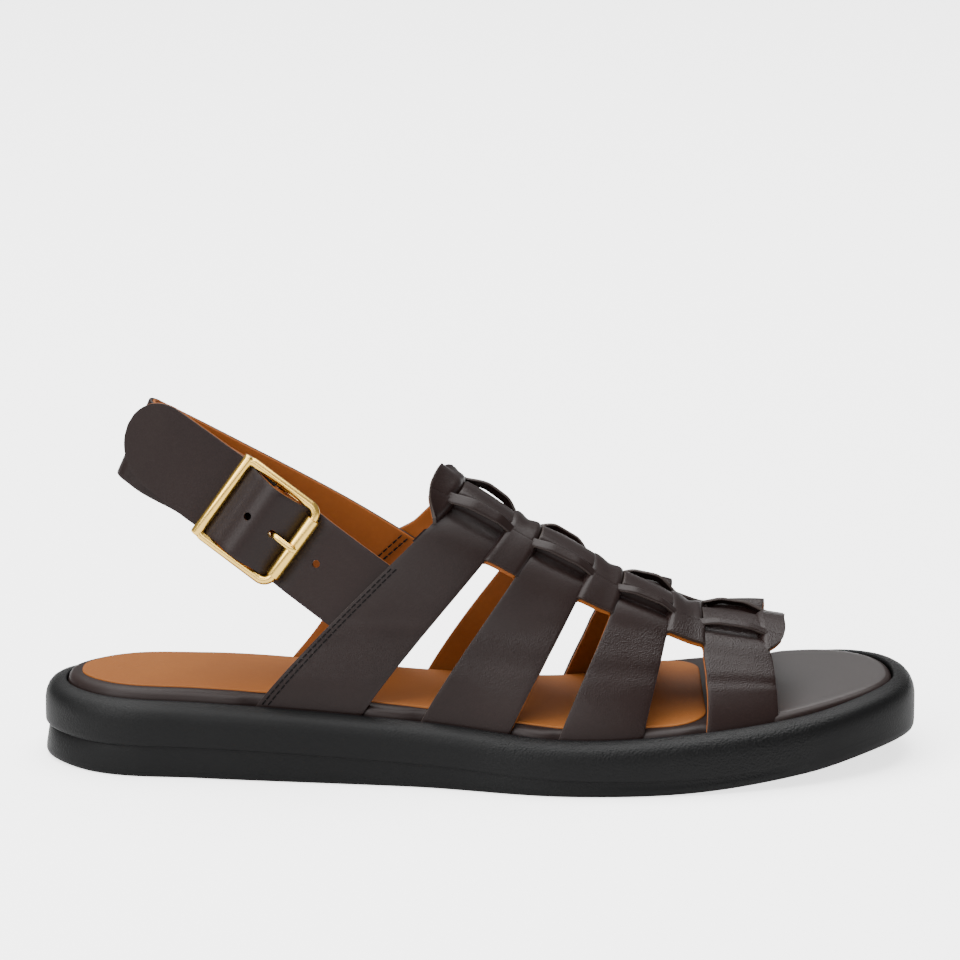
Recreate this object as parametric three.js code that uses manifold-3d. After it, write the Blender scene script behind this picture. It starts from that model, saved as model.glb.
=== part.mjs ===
// Gladiator sandal, right shoe: a cup sole, a wrapped footbed, a woven strap upper and a buckled heel strap.
// Millimetres, +Z up, +X to the toe, -Y the lateral (outer) side, floor at Z = 0.
import * as THREE from "three";
import { mergeVertices } from "three/addons/utils/BufferGeometryUtils.js";
import Module from "manifold-3d";

const wasm = await Module();
wasm.setup();

// Driving dimensions
const LENGTH = 264; // outsole, heel to toe
const GAP = 0.3; // clearance between pieces that touch
const LEATHER = 2.0; // strap wall: upper leather and lining
const RIM_WIDTH = 6.2; // from the sole's outline to the inner wall of its cup
const GROOVE = 1.0; // open groove between the cup wall and the footbed
const SOCK_MARGIN = 4.2; // dark footbed edge left bare round the sock
const SOCK_INSET = RIM_WIDTH + GROOVE + SOCK_MARGIN;
const SOCK_CORNER = 9; // radius of its front corners
const SOCK_THICKNESS = 1.2;
const SOCK_FRONT = 0.748; // the sock ends under the front strap, share of the length
const CUP_FLOOR = 3.0; // rubber between the tread's step line and the cup's floor

// Sole outline: half widths on both sides of the heel-to-toe line, by share of the length
const OUTLINE_BLUNTNESS = 0.86; // power of the sine that rounds heel and toe
const OUTLINE = [
  { at: 0.05, lateral: 23.0, medial: 23.0 },
  { at: 0.18, lateral: 31.2, medial: 29.5 },
  { at: 0.42, lateral: 39.6, medial: 23.0 },
  { at: 0.58, lateral: 49.2, medial: 28.0 },
  { at: 0.7, lateral: 49.0, medial: 42.0 },
  { at: 0.86, lateral: 39.0, medial: 43.0 },
  { at: 0.95, lateral: 25.5, medial: 32.0 },
];

// Heights of the sole: floor clearance, then the step line, rim crest and footbed top above the bottom face
const HEIGHTS = [
  { at: 0.0, lift: 0.6, step: 9.6, rim: 23.0, bed: 25.6 },
  { at: 0.06, lift: 0.0, step: 9.6, rim: 22.8, bed: 25.8 },
  { at: 0.25, lift: 0.0, step: 9.2, rim: 21.6, bed: 25.0 },
  { at: 0.45, lift: 0.0, step: 7.0, rim: 18.6, bed: 21.8 },
  { at: 0.6, lift: 0.0, step: 5.0, rim: 16.0, bed: 18.4 },
  { at: 0.74, lift: 0.5, step: 4.6, rim: 16.8, bed: 18.6 },
  { at: 0.87, lift: 3.8, step: 4.4, rim: 16.4, bed: 17.6 },
  { at: 1.0, lift: 8.6, step: 4.2, rim: 16.6, bed: 16.0 },
];

// Side of the sole, bottom to cup: inset from the outline, and height as a mix of the named levels
const SOLE_PROFILE = [
  { inset: 3.2, level: "lift", rise: 0.0 },
  { inset: 0.9, level: "lift", rise: 1.0 },
  { inset: 0.2, level: "lift", rise: 3.0 },
  { inset: 1.7, level: "step", rise: -0.5 },
  { inset: 1.8, level: "step", rise: 0.5 },
  { inset: 0.3, level: "step", rise: 1.5 },
  { inset: 0.0, level: "step", rise: 3.2 },
  { inset: 0.6, level: "rim", rise: -4.0 },
  { inset: 2.0, level: "rim", rise: -1.4 },
  { inset: 4.0, level: "rim", rise: -0.2 },
  { inset: 5.4, level: "rim", rise: -0.4 },
  { inset: 6.2, level: "rim", rise: -1.8 },
];
const RADIAN = Math.PI / 180;

// Sections of the last along the strap edges, two rows to a strap, with one beyond each end for the tabs:
// the ridge's sideways place, where the section stands on the sole, how much further forward it stands on the
// medial side, where it crosses the ridge, the ridge's height, the section's roundness and the weave's spread
const SECTIONS = [
  { at: -1, middle: -1.0, base: 31.0, medial: 7.0, ridge: 108.0, height: 91.0, round: 2.5, spread: 1.0 },
  { at: 0, middle: -2.0, base: 62.5, medial: 7.0, ridge: 126.5, height: 82.4, round: 2.5, spread: 1.0 },
  { at: 1, middle: -3.5, base: 94.6, medial: 3.0, ridge: 141.7, height: 73.0, round: 2.4, spread: 1.0 },
  { at: 2, middle: -4.5, base: 112.6, medial: 0.0, ridge: 149.6, height: 69.0, round: 2.2, spread: 1.02 },
  { at: 3, middle: -5.0, base: 139.6, medial: 1.0, ridge: 165.5, height: 60.3, round: 1.9, spread: 1.05 },
  { at: 4, middle: -4.5, base: 154.0, medial: 2.0, ridge: 174.3, height: 55.2, round: 1.75, spread: 1.07 },
  { at: 5, middle: -2.5, base: 179.2, medial: 4.0, ridge: 189.2, height: 47.4, round: 1.7, spread: 1.1 },
  { at: 6, middle: -1.0, base: 198.2, medial: 6.5, ridge: 198.6, height: 43.2, round: 1.62, spread: 1.12 },
  { at: 7, middle: 0.0, base: 219.8, medial: 6.5, ridge: 216.2, height: 40.2, round: 1.6, spread: 1.12 },
  { at: 8, middle: 0.5, base: 239.0, medial: 6.5, ridge: 232.7, height: 37.3, round: 1.6, spread: 1.12 },
];
const STRAPS = [0, 1, 2, 3];
const STRAP_INSET = 8.9; // from the sole's outline to the inner face of a strap
const STRAP_SINK = 5.0; // depth of the strap ends below the rim
const LEAN = 1.15; // power that bends a strap's edge as it rises
const BASE_ANGLE = 89;
const EDGE_ROUND = 0.4;
const WALL = { below: 0, above: LEATHER, edge: EDGE_ROUND, spare: 0, deeper: 0 };
const CLEAR = { below: GAP, above: LEATHER + GAP, edge: EDGE_ROUND, spare: 0.03, deeper: 0 };
const NOTCH = { below: GAP, above: LEATHER + RIM_WIDTH, edge: EDGE_ROUND, spare: 0.04, deeper: 1 };

// Weave across the band, from the ridge outwards: whether strap or band lies on top; the last row is strap
const WEAVE_STEP = 1.7;
const WEAVE_SINK = 1.1; // lift of a raised strip's inner face, so that joined strips overlap
const RIB_RAMP = { outside: 0.3, inside: 0.15 }; // where a rib rises over a strap, in sections from its edge
const RIB_EDGE = 0.6; // share of a rib's rise over a strap's edge; the full rise is over its middle
const WEAVE = [
  { across: 0.0, strap: 1, band: 0, hump: 0 },
  { across: 6.2, strap: 1, band: 0, hump: 0 },
  { across: 7.3, strap: 0, band: 1, hump: 0 },
  { across: 9.5, strap: 0, band: 1, hump: 0 },
  { across: 10.6, strap: 1, band: 0, hump: 0.8 },
  { across: 13.2, strap: 1, band: 0, hump: 1 },
  { across: 15.8, strap: 1, band: 0, hump: 0.3 },
  { across: 17.6, strap: 0, band: 0, hump: 0 },
];
// Rise at each crossing: both ribs, and the rear and front edge of the strap over the medial outer lane
const CROSSINGS = [
  { lateral: 2.6, medial: 1.2, rear: 0, front: 0 },
  { lateral: 2.8, medial: 4.4, rear: 1.6, front: 0.4 },
  { lateral: 2.4, medial: 3.6, rear: 3.8, front: 2.4 },
  { lateral: 2.2, medial: 2.4, rear: 0.8, front: 3.6 },
];
const REAR_SLANT = 0.2; // the rear tab is shorter on its medial side, in sections
const MEDIAL_REACH = 0.62; // most of the last's medial half width that the band may cover
const BAND_EDGE = 15.8;
const STRAP_COLUMNS = 3;
const SIDE_STEPS = 7;
const BAND_STEPS = 42;
const BAND_REAR = -0.46; // ends of the band, in sections
const BAND_FRONT = 7.36;
const FRONT_STRAP_EDGE = 7;
const TAB_ROUND = 0.8;
const TAB_POWER = 3.4;
const TAB_CURL = 1.6;

// Heel hoop: a slanted plane from the first strap up to the back of the heel.
// Places in it are "along" the slope from the lateral strap and "across" the shoe, lateral side negative
const HOOP_START = new THREE.Vector3(94.1, 0, 55.6);
const HOOP_SLOPE = 35;
const HOOP_STRAP = { half: 12.2, waist: 11.5, thick: 1.8, skived: 1.2 };
const HOOP_BACK = { along: 73.4, across: 2.2, radius: 3.2, lift: -3.2 };
const HOOP_MEDIAL = { along: -16.0, across: 16.4, lift: 3.8 };
const HOOP_TILT = 9; // lean of the straps at the front, following the first strap
const HOOP_FAN = 11; // the back of the hoop stands steeper than the slope
const TILT_ZONE = { end: 18, length: 28 };
const FAN_ZONE = { start: 50, length: 24 };
const WAIST_ZONE = { inner: 14, outer: 26 }; // distances from the middle bar
const SIDE_ANGLE = 12.7; // of the lateral strap to the shoe's length

// Buckle: sizes along the strap, across it and out from its face, from the middle bar
const BUCKLE = { along: 34.2, across: -14.3, length: 29.0, width: 30.0, bar: 1.4, rise: 1.5 };
const CORNER = { rear: 2.2, front: 3.2 };
const MIDDLE_BAR = 1.3;
const ROLLER = { inner: 1.8, outer: 2.3, length: 19.0 };
const PRONG = { width: 2.2, thick: 1.5 };
const PRONG_DIP = 0.32; // height of the prong under its hole, as a share of its ring
const PRONG_TIP = 1.0; // the prong lies on the roller this far past its middle
const LOOP_SLOT = 5.0; // half length of the prong's slot in the heel strap's loop
const PRONG_HOLE = 6.6; // from the middle bar to the hole that the prong fills
const HOLE_REACH = { back: 3.4, front: 2.6 };

// Buckle strap's route past the buckle, tip to first strap: place along the strap and out from it
const BUCKLE_STRAP = [
  { along: -49.0, out: -1.2 },
  { along: -34.0, out: -1.2 },
  { along: -20.0, out: -1.2 },
  { along: -12.7, out: -1.3 },
  { along: -6.5, out: 2.0 },
  { along: 0.0, out: 4.2 },
  { along: 6.0, out: 2.2 },
  { along: 12.7, out: -2.4 },
  { along: 20.0, out: -2.0 },
  { along: 33.0, out: -1.8 },
  { along: 45.0, out: -2.2 },
];
const RING_HALF = 30; // steps along each side of the outline

// Smooth lookup in a table of rows: a cubic through the rows, level beyond the ends
function lookup(rows, key, at) {
  const last = rows.length - 1;
  const slope = (i) => {
    const a = rows[Math.max(i - 1, 0)];
    const b = rows[Math.min(i + 1, last)];
    return i === 0 || i === last ? 0 : (b[key] - a[key]) / (b.at - a.at);
  };
  if (at <= rows[0].at) return rows[0][key];
  if (at >= rows[last].at) return rows[last][key];
  const i = rows.findIndex((r) => r.at > at) - 1;
  const span = rows[i + 1].at - rows[i].at;
  const t = (at - rows[i].at) / span;
  const rest = 1 - t;
  return (
    rows[i][key] * (1 + 2 * t) * rest * rest +
    rows[i + 1][key] * (3 - 2 * t) * t * t +
    span * t * rest * (slope(i) * rest - slope(i + 1) * t)
  );
}

// The outline's half width divided by its end rounding, so that the table can hold real widths
const ROUNDED = OUTLINE.map(({ at, lateral, medial }) => {
  const end = (2 * Math.sqrt(at * (1 - at))) ** OUTLINE_BLUNTNESS;
  return { at, lateral: lateral / end, medial: medial / end };
});

// Half width of the sole at a share of its length
function halfWidth(side, at) {
  const end = (2 * Math.sqrt(Math.max(at * (1 - at), 0))) ** OUTLINE_BLUNTNESS;
  return end * lookup(ROUNDED, side, at);
}

// A level of the sole at a share of its length, from the floor
function level(name, at) {
  const lift = Math.max(lookup(HEIGHTS, "lift", at), 0);
  return name === "lift" ? lift : lift + lookup(HEIGHTS, name, at);
}

// A point of the sole's outline, moved inwards by an inset
const STEP = 0.0005; // share of the length over which the outline's direction is taken
function outlinePoint(side, at, inset) {
  const sign = side === "lateral" ? -1 : 1;
  const spot = (share) => new THREE.Vector2(LENGTH * share, sign * halfWidth(side, share));
  const point = spot(at);
  const ends = at < 0.001 || at > 0.999;
  const square = new THREE.Vector2(0, at < 0.5 ? -1 : 1);
  const along = ends ? square : spot(at + STEP).sub(spot(at - STEP)).normalize();
  const turn = ends ? 1 : -sign;
  return new THREE.Vector2(point.x - turn * along.y * inset, point.y + turn * along.x * inset);
}

// The outline as points from the heel along the lateral side to the toe and back along the medial side
function outlineRing(inset) {
  return Array.from({ length: 2 * RING_HALF }, (_, j) => {
    const at = (1 - Math.cos((Math.PI * j) / RING_HALF)) / 2;
    return outlinePoint(j <= RING_HALF ? "lateral" : "medial", at, inset);
  });
}

// The outline from the heel to a straight front edge with round corners
const SOCK_SIDE_STEPS = RING_HALF - 8;
const CORNER_ANGLES = [0, 18, 36, 54, 72, 90];
function sockRing(inset) {
  const front = LENGTH * SOCK_FRONT - inset + SOCK_INSET;
  const side = (name) => {
    const sides = Array.from({ length: SOCK_SIDE_STEPS }, (_, j) => {
      const share = 1 - Math.cos((Math.PI * j) / (2 * SOCK_SIDE_STEPS));
      return outlinePoint(name, (share * (front - SOCK_CORNER)) / LENGTH, inset);
    });
    const corner = CORNER_ANGLES.map((degrees) => {
      const x = front - SOCK_CORNER * (1 - Math.sin(degrees * RADIAN));
      const edge = outlinePoint(name, x / LENGTH, inset).y;
      return new THREE.Vector2(x, edge - Math.sign(edge) * SOCK_CORNER * (1 - Math.cos(degrees * RADIAN)));
    });
    return [...sides, ...corner];
  };
  const medial = side("medial");
  return [...side("lateral"), new THREE.Vector2(front, 0), ...medial.slice(1).reverse()];
}

// Lifts a flat ring to a height that follows the length of the shoe
const raise = (ring, height) => ring.map((p) => new THREE.Vector3(p.x, p.y, height(p.x / LENGTH)));

// A closed body from rings of equal count: walls between them, and caps from the first to the middle point
function stackRings(rings) {
  const count = rings[0].length;
  const half = count / 2;
  const index = [];
  const triangle = (...corners) => new Set(corners).size === 3 && index.push(...corners);
  const quad = (a, b, c, d) => {
    triangle(a, b, c);
    triangle(a, c, d);
  };
  for (let r = 0; r + 1 < rings.length; r++) {
    for (let j = 0; j < count; j++) {
      const k = (j + 1) % count;
      quad(r * count + j, r * count + k, (r + 1) * count + k, (r + 1) * count + j);
    }
  }
  const top = (rings.length - 1) * count;
  for (let j = 0; j < half; j++) {
    const back = (count - j) % count;
    quad(back, count - j - 1, j + 1, j);
    quad(top + j, top + j + 1, top + count - j - 1, top + back);
  }
  const geometry = new THREE.BufferGeometry();
  const flat = rings.flat().flatMap((p) => [p.x, p.y, p.z]);
  geometry.setAttribute("position", new THREE.Float32BufferAttribute(flat, 3));
  geometry.setIndex(index);
  return geometry;
}

// A geometry as a solid that can be joined and cut
function solidOf(geometry) {
  const bare = new THREE.BufferGeometry();
  bare.setAttribute("position", geometry.getAttribute("position"));
  bare.setIndex(geometry.index);
  const merged = mergeVertices(bare, 1e-4);
  return new wasm.Manifold(
    new wasm.Mesh({
      numProp: 3,
      vertProperties: new Float32Array(merged.getAttribute("position").array),
      triVerts: new Uint32Array(merged.index.array),
    }),
  );
}

// A solid back as a geometry
function geometryOf(solid) {
  const mesh = solid.getMesh();
  const geometry = new THREE.BufferGeometry();
  geometry.setAttribute("position", new THREE.BufferAttribute(mesh.vertProperties, 3));
  geometry.setIndex(new THREE.BufferAttribute(mesh.triVerts, 1));
  return geometry;
}

// Cup sole: the stepped side, then the cup's wall and floor
function outsole() {
  const rings = SOLE_PROFILE.map((row) =>
    raise(outlineRing(row.inset), (at) => level(row.level, at) + row.rise),
  );
  rings.push(raise(outlineRing(RIM_WIDTH), (at) => level("step", at) + CUP_FLOOR));
  return stackRings(rings);
}

// Footbed: a board in the cup with a rolled leather edge
function footbed() {
  const inset = RIM_WIDTH + GROOVE;
  const bed = (drop) => (at) => level("bed", at) - SOCK_THICKNESS - drop;
  return stackRings([
    raise(outlineRing(inset), (at) => level("step", at) + CUP_FLOOR + GAP),
    raise(outlineRing(inset), bed(3.0)),
    raise(outlineRing(inset + 0.6), bed(1.2)),
    raise(outlineRing(inset + 2.2), bed(0.2)),
    raise(outlineRing(inset + 3.6), bed(0)),
  ]);
}

// Insole sock: a leather sheet on the footbed, ending in round corners under the front strap
function insoleSock() {
  const bed = (drop) => (at) => level("bed", at) - drop;
  return stackRings([
    raise(sockRing(SOCK_INSET), bed(SOCK_THICKNESS - GAP)),
    raise(sockRing(SOCK_INSET), bed(0.3)),
    raise(sockRing(SOCK_INSET + 0.5), bed(0)),
  ]);
}

// Where a section stands on the sole, on one side of the shoe
function lastBase(section, sign) {
  const medial = sign > 0 ? lookup(SECTIONS, "medial", section) : 0;
  return lookup(SECTIONS, "base", section) + medial;
}

// Width of the last's section from its ridge line to one of its bases, a set inset inside the sole's outline
function lastHalf(section, sign) {
  const at = lastBase(section, sign) / LENGTH;
  const width = (share) => halfWidth(sign < 0 ? "lateral" : "medial", share);
  const slope = (width(at + 0.01) - width(at - 0.01)) / (0.02 * LENGTH);
  const inset = STRAP_INSET * Math.hypot(1, slope);
  return width(at) - inset - sign * lookup(SECTIONS, "middle", section);
}

// Point of the last by section and angle: -90 degrees at the lateral base, 0 on the ridge, 90 at the medial
function lastPoint(section, angle) {
  const edge = (key) => lookup(SECTIONS, key, section);
  const sign = Math.sign(angle);
  const power = 2 / edge("round");
  const rise = Math.abs(Math.cos(angle * RADIAN)) ** power;
  const spread = Math.abs(Math.sin(angle * RADIAN)) ** power;
  const base = edge("base");
  const foot = level("rim", lastBase(section, sign) / LENGTH) - STRAP_SINK;
  return new THREE.Vector3(
    base + (edge("ridge") - base) * rise ** LEAN + spread * (lastBase(section, sign) - base),
    edge("middle") + sign * spread * lastHalf(section, sign),
    foot + (edge("height") - foot) * rise,
  );
}

// Angle on the last at a distance across from the ridge line, lateral side negative
function lastAngle(section, across) {
  const sign = Math.sign(across);
  const power = lookup(SECTIONS, "round", section) / 2;
  const half = lastHalf(section, sign);
  const room = sign > 0 ? Math.min(1, (MEDIAL_REACH * half) / BAND_EDGE) : 1;
  const reach = Math.abs(across) * lookup(SECTIONS, "spread", section) * room;
  return (sign * Math.asin((reach / half) ** power)) / RADIAN;
}

// Outward normal of the last
function lastNormal(section, angle) {
  const along = lastPoint(section + 0.01, angle).sub(lastPoint(section - 0.01, angle));
  const round = lastPoint(section, angle + 0.5).sub(lastPoint(section, angle - 0.5));
  return along.cross(round).normalize();
}

// A leather sheet on the last: rows of places, each with its section, angle and lift off the last
function sheet(rows, wall) {
  const rings = rows.map((places) => {
    const outer = [];
    const inner = [];
    for (const { section, angle, lift } of places) {
      const point = lastPoint(section, angle);
      const normal = lastNormal(section, angle);
      inner.unshift(point.clone().addScaledVector(normal, Math.min(lift, WEAVE_SINK) - wall.below));
      outer.push(point.clone().addScaledVector(normal, lift + wall.above));
    }
    const first = roundEdge(outer[0], inner.at(-1), outer[1], wall.edge);
    const last = roundEdge(outer.at(-1), inner[0], outer.at(-2), wall.edge);
    return [first, ...outer, last, ...inner];
  });
  const lowered = (ring) => ring.map((p) => p.clone().setZ(p.z - wall.deeper));
  return stackRings(wall.deeper ? [lowered(rings[0]), ...rings, lowered(rings.at(-1))] : rings);
}

// Middle of a cut edge, pushed away from the neighbouring point
function roundEdge(outer, inner, neighbour, push) {
  const away = outer.clone().sub(neighbour).normalize();
  return outer.clone().add(inner).divideScalar(2).addScaledVector(away, push);
}

// Rows of a strap from the lateral to the medial base
function strapRows(strap, spare) {
  const width = 1 + 2 * spare;
  const column = (_, j) => 2 * strap - spare + (j * width) / STRAP_COLUMNS;
  const columns = Array.from({ length: STRAP_COLUMNS + 1 }, column);
  const last = WEAVE.at(-1).across;
  const woven = (row) => (section, sign) => {
    const { rear, front } = CROSSINGS[strap];
    const rise = sign > 0 ? row.hump * THREE.MathUtils.lerp(rear, front, section - 2 * strap) : 0;
    return { section, angle: lastAngle(section, sign * row.across), lift: row.strap * WEAVE_STEP + rise };
  };
  const halfRows = WEAVE.map(woven);
  for (let i = 1; i <= SIDE_STEPS; i++) {
    halfRows.push((section, sign) => {
      const start = Math.abs(lastAngle(section, sign * last));
      return { section, angle: sign * (start + ((BASE_ANGLE - start) * i) / SIDE_STEPS), lift: 0 };
    });
  }
  const lateral = halfRows.slice(1).reverse().map((place) => columns.map((c) => place(c, -1)));
  const medial = halfRows.map((place) => columns.map((c) => place(c, 1)));
  return [...lateral, ...medial];
}

// Rise of a rib at a place along the band: an arch over each strap, nothing between straps
function ribRise(section, side) {
  const rises = STRAPS.map((strap) => {
    const { outside, inside } = RIB_RAMP;
    const start = 2 * strap;
    const end = start + 1;
    const rise = THREE.MathUtils.smoothstep(section, start - outside, start + inside);
    const fall = THREE.MathUtils.smoothstep(section, end - inside, end + outside);
    const middle = THREE.MathUtils.clamp(1 - Math.abs(2 * (section - start) - 1), 0, 1);
    const arch = RIB_EDGE + (1 - RIB_EDGE) * Math.sin((middle * Math.PI) / 2);
    return CROSSINGS[strap][side] * rise * (1 - fall) * arch;
  });
  return Math.max(...rises);
}

// Rows of the centre band from its rear tab to its front tab, medial to lateral
function bandRows() {
  const half = WEAVE.slice(0, -1);
  const medial = half.slice(1).reverse().map((row) => ({ ...row, sign: 1 }));
  const lateral = half.map((row) => ({ ...row, sign: -1 }));
  const stations = [...medial, ...lateral];
  return Array.from({ length: BAND_STEPS + 1 }, (_, i) => {
    const middle = BAND_REAR + ((BAND_FRONT - BAND_REAR) * i) / BAND_STEPS;
    const rear = THREE.MathUtils.clamp(middle / BAND_REAR, 0, 1);
    const front = THREE.MathUtils.clamp((middle - FRONT_STRAP_EDGE) / (BAND_FRONT - FRONT_STRAP_EDGE), 0, 1);
    return stations.map(({ across, band, sign }) => {
      const round = TAB_ROUND * (across / BAND_EDGE) ** TAB_POWER;
      const slant = (REAR_SLANT * (1 + (sign * across) / BAND_EDGE)) / 2;
      const section = middle + (round + slant) * rear - round * front;
      const lift = band * ribRise(section, sign < 0 ? "lateral" : "medial") + TAB_CURL * rear ** 2;
      return { section, angle: lastAngle(section, sign * across), lift };
    });
  });
}

// Upper: four straps and the centre band, joined where they cross
const strapSolid = (strap, wall) => solidOf(sheet(strapRows(strap, wall.spare), wall));
function upper() {
  const band = solidOf(sheet(bandRows(), WALL));
  const joined = STRAPS.reduce((body, strap) => body.add(strapSolid(strap, WALL)), band);
  return outerShell(joined);
}

// The largest shell of a solid, which closes any pinhole left between joined sheets
const outerShell = (solid) => solid.decompose().sort((a, b) => b.volume() - a.volume())[0];

// A slot for the prong, given by its reach along the strap and out from it, in the buckle's own axes
function prongSlot(from, to, depth) {
  const slot = new THREE.BoxGeometry(to - from, PRONG.width + 2 * GAP, 2 * depth);
  slot.translate((from + to) / 2, 0, 0);
  return solidOf(slot.applyMatrix4(buckleAxes()));
}

// Clear of the upper: a strap end tucked under the first strap keeps its gap to it
const tucked = (geometry) => outerShell(solidOf(geometry).subtract(strapSolid(0, CLEAR)));

// Place in the hoop's plane
function hoopPoint(along, across, lift = 0) {
  const slope = HOOP_SLOPE * RADIAN;
  return new THREE.Vector3(
    HOOP_START.x - along * Math.cos(slope) + lift * Math.sin(slope),
    across,
    HOOP_START.z + along * Math.sin(slope) + lift * Math.cos(slope),
  );
}

// Direction of a strap's width at a place along the hoop: side is -1 on the lateral leg, 1 on the medial leg
function hoopWide(along, side) {
  const front = THREE.MathUtils.clamp((TILT_ZONE.end - along) / TILT_ZONE.length, 0, 1);
  const back = THREE.MathUtils.clamp((along - FAN_ZONE.start) / FAN_ZONE.length, 0, 1);
  const tilt = (HOOP_TILT / 2) * (1 + front - back) * RADIAN;
  const slope = (HOOP_SLOPE - HOOP_FAN * back) * RADIAN;
  return new THREE.Vector3(Math.sin(slope), -side * Math.tan(tilt), Math.cos(slope)).normalize();
}

// Place beside the buckle, along the lateral strap towards the toe and out from its face, in hoop places
function besideBuckle(along, out) {
  const turn = SIDE_ANGLE * RADIAN;
  return {
    along: BUCKLE.along - along * Math.cos(turn) + out * Math.sin(turn),
    across: BUCKLE.across - along * Math.sin(turn) - out * Math.cos(turn),
  };
}

// A flat strap along rows of centre point, width direction, half width and thickness
function ribbon(rows) {
  const rings = rows.map(({ point, wide, half, thick }, i) => {
    const before = rows[Math.max(i - 1, 0)].point;
    const after = rows[Math.min(i + 1, rows.length - 1)].point;
    const out = after.clone().sub(before).cross(wide).normalize();
    const corner = (w, o) => point.clone().addScaledVector(wide, w).addScaledVector(out, (o * thick) / 2);
    const full = half + EDGE_ROUND;
    const inner = [corner(-half, -1), corner(half, -1)];
    const outer = [corner(half, 1), corner(-half, 1)];
    return [corner(-full, 0), ...inner, corner(full, 0), ...outer];
  });
  return stackRings(rings);
}

// Half width of the hoop's straps: a little narrower where they pass the buckle
function hoopHalf(along) {
  const away = Math.abs(along - BUCKLE.along);
  const near = 1 - THREE.MathUtils.smoothstep(away, WAIST_ZONE.inner, WAIST_ZONE.outer);
  return THREE.MathUtils.lerp(HOOP_STRAP.half, HOOP_STRAP.waist, near);
}

// Steps of the heel strap: its legs, and the loop that turns round the middle bar
const HOOP_STEPS = 10;
const MEDIAL_BOW = 1.5; // power that keeps the medial leg high until the back of the hoop
const LEG_PLACES = [-36, -30, -24, -14, -8]; // along the lateral leg, from the middle bar
const DROP_ZONE = { front: 14, back: 42 }; // where the leg drops towards the back of the hoop
const LOOP_TURN = { from: -90, to: 150, steps: 10 };
const LOOP_ENTRY = { along: -4, drop: 0.5 };

// Heel strap: from under the medial side of the first strap, round the back, to a loop on the middle bar
function heelStrap() {
  const { thick, skived } = HOOP_STRAP;
  const mix = THREE.MathUtils.lerp;
  const row = (place, side, depth) => ({
    point: hoopPoint(place.along, place.across, place.lift),
    wide: hoopWide(place.along, side),
    half: side > 0 ? HOOP_STRAP.half : hoopHalf(place.along),
    thick: depth,
  });
  const legOut = BUCKLE_STRAP[0].out - thick - 2 * GAP;
  const loop = MIDDLE_BAR + 1.5 * GAP + skived / 2;
  const medial = Array.from({ length: HOOP_STEPS }, (_, i) => ({
    along: mix(HOOP_MEDIAL.along, HOOP_BACK.along, i / HOOP_STEPS),
    across: mix(HOOP_MEDIAL.across, HOOP_BACK.across + HOOP_BACK.radius, i / HOOP_STEPS),
    lift: mix(HOOP_MEDIAL.lift, HOOP_BACK.lift, (i / HOOP_STEPS) ** MEDIAL_BOW),
  }));
  const back = Array.from({ length: HOOP_STEPS + 1 }, (_, i) => ({
    along: HOOP_BACK.along + HOOP_BACK.radius * Math.sin((Math.PI * i) / HOOP_STEPS),
    across: HOOP_BACK.across + HOOP_BACK.radius * Math.cos((Math.PI * i) / HOOP_STEPS),
    lift: HOOP_BACK.lift,
  }));
  const lateral = LEG_PLACES.map((along) => {
    const drop = THREE.MathUtils.smoothstep(-along, DROP_ZONE.front, DROP_ZONE.back);
    return { ...besideBuckle(along, legOut), lift: HOOP_BACK.lift * drop };
  });
  const entry = besideBuckle(LOOP_ENTRY.along, -loop - LOOP_ENTRY.drop);
  const ring = Array.from({ length: LOOP_TURN.steps + 1 }, (_, i) => {
    const turn = mix(LOOP_TURN.from, LOOP_TURN.to, i / LOOP_TURN.steps) * RADIAN;
    return besideBuckle(loop * Math.cos(turn), loop * Math.sin(turn));
  });
  return ribbon([
    ...medial.map((place) => row(place, 1, thick)),
    ...[...back, ...lateral].map((place) => row(place, -1, thick)),
    ...[entry, ...ring].map((place) => row(place, -1, skived)),
  ]);
}

// Steps of the buckle strap: its round tip, then the rest
const TIP_SHARES = [0.02, 0.1, 0.22, 0.4, 0.6, 0.8];
const STRAP_STEPS = 35;

// Buckle strap: from its round tip, through the buckle, to under the lateral side of the first strap
function buckleStrap() {
  const { half, thick } = HOOP_STRAP;
  const spine = new THREE.SplineCurve(BUCKLE_STRAP.map(({ along, out }) => new THREE.Vector2(along, out)));
  const length = spine.getLength();
  const tip = TIP_SHARES.map((share) => share * half);
  const step = (_, i) => THREE.MathUtils.lerp(half, length, i / STRAP_STEPS);
  const rest = Array.from({ length: STRAP_STEPS + 1 }, step);
  return ribbon(
    [...tip, ...rest].map((distance) => {
      const spot = spine.getPointAt(distance / length);
      const place = besideBuckle(spot.x, spot.y);
      const left = Math.max(1 - distance / half, 0);
      return {
        point: hoopPoint(place.along, place.across),
        wide: hoopWide(place.along, -1),
        half: hoopHalf(place.along) * Math.sqrt(1 - left * left),
        thick,
      };
    }),
  );
}

// The buckle's own axes: along the strap towards the toe, across it, and out from its face
function buckleAxes() {
  const at = (along, out) => {
    const place = besideBuckle(along, out);
    return hoopPoint(place.along, place.across);
  };
  const along = at(1, 0).sub(at(0, 0)).normalize();
  const out = along.clone().cross(hoopWide(BUCKLE.along, -1)).normalize();
  const across = out.clone().cross(along);
  return new THREE.Matrix4().makeBasis(along, across, out).setPosition(at(0, 0));
}

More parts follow.
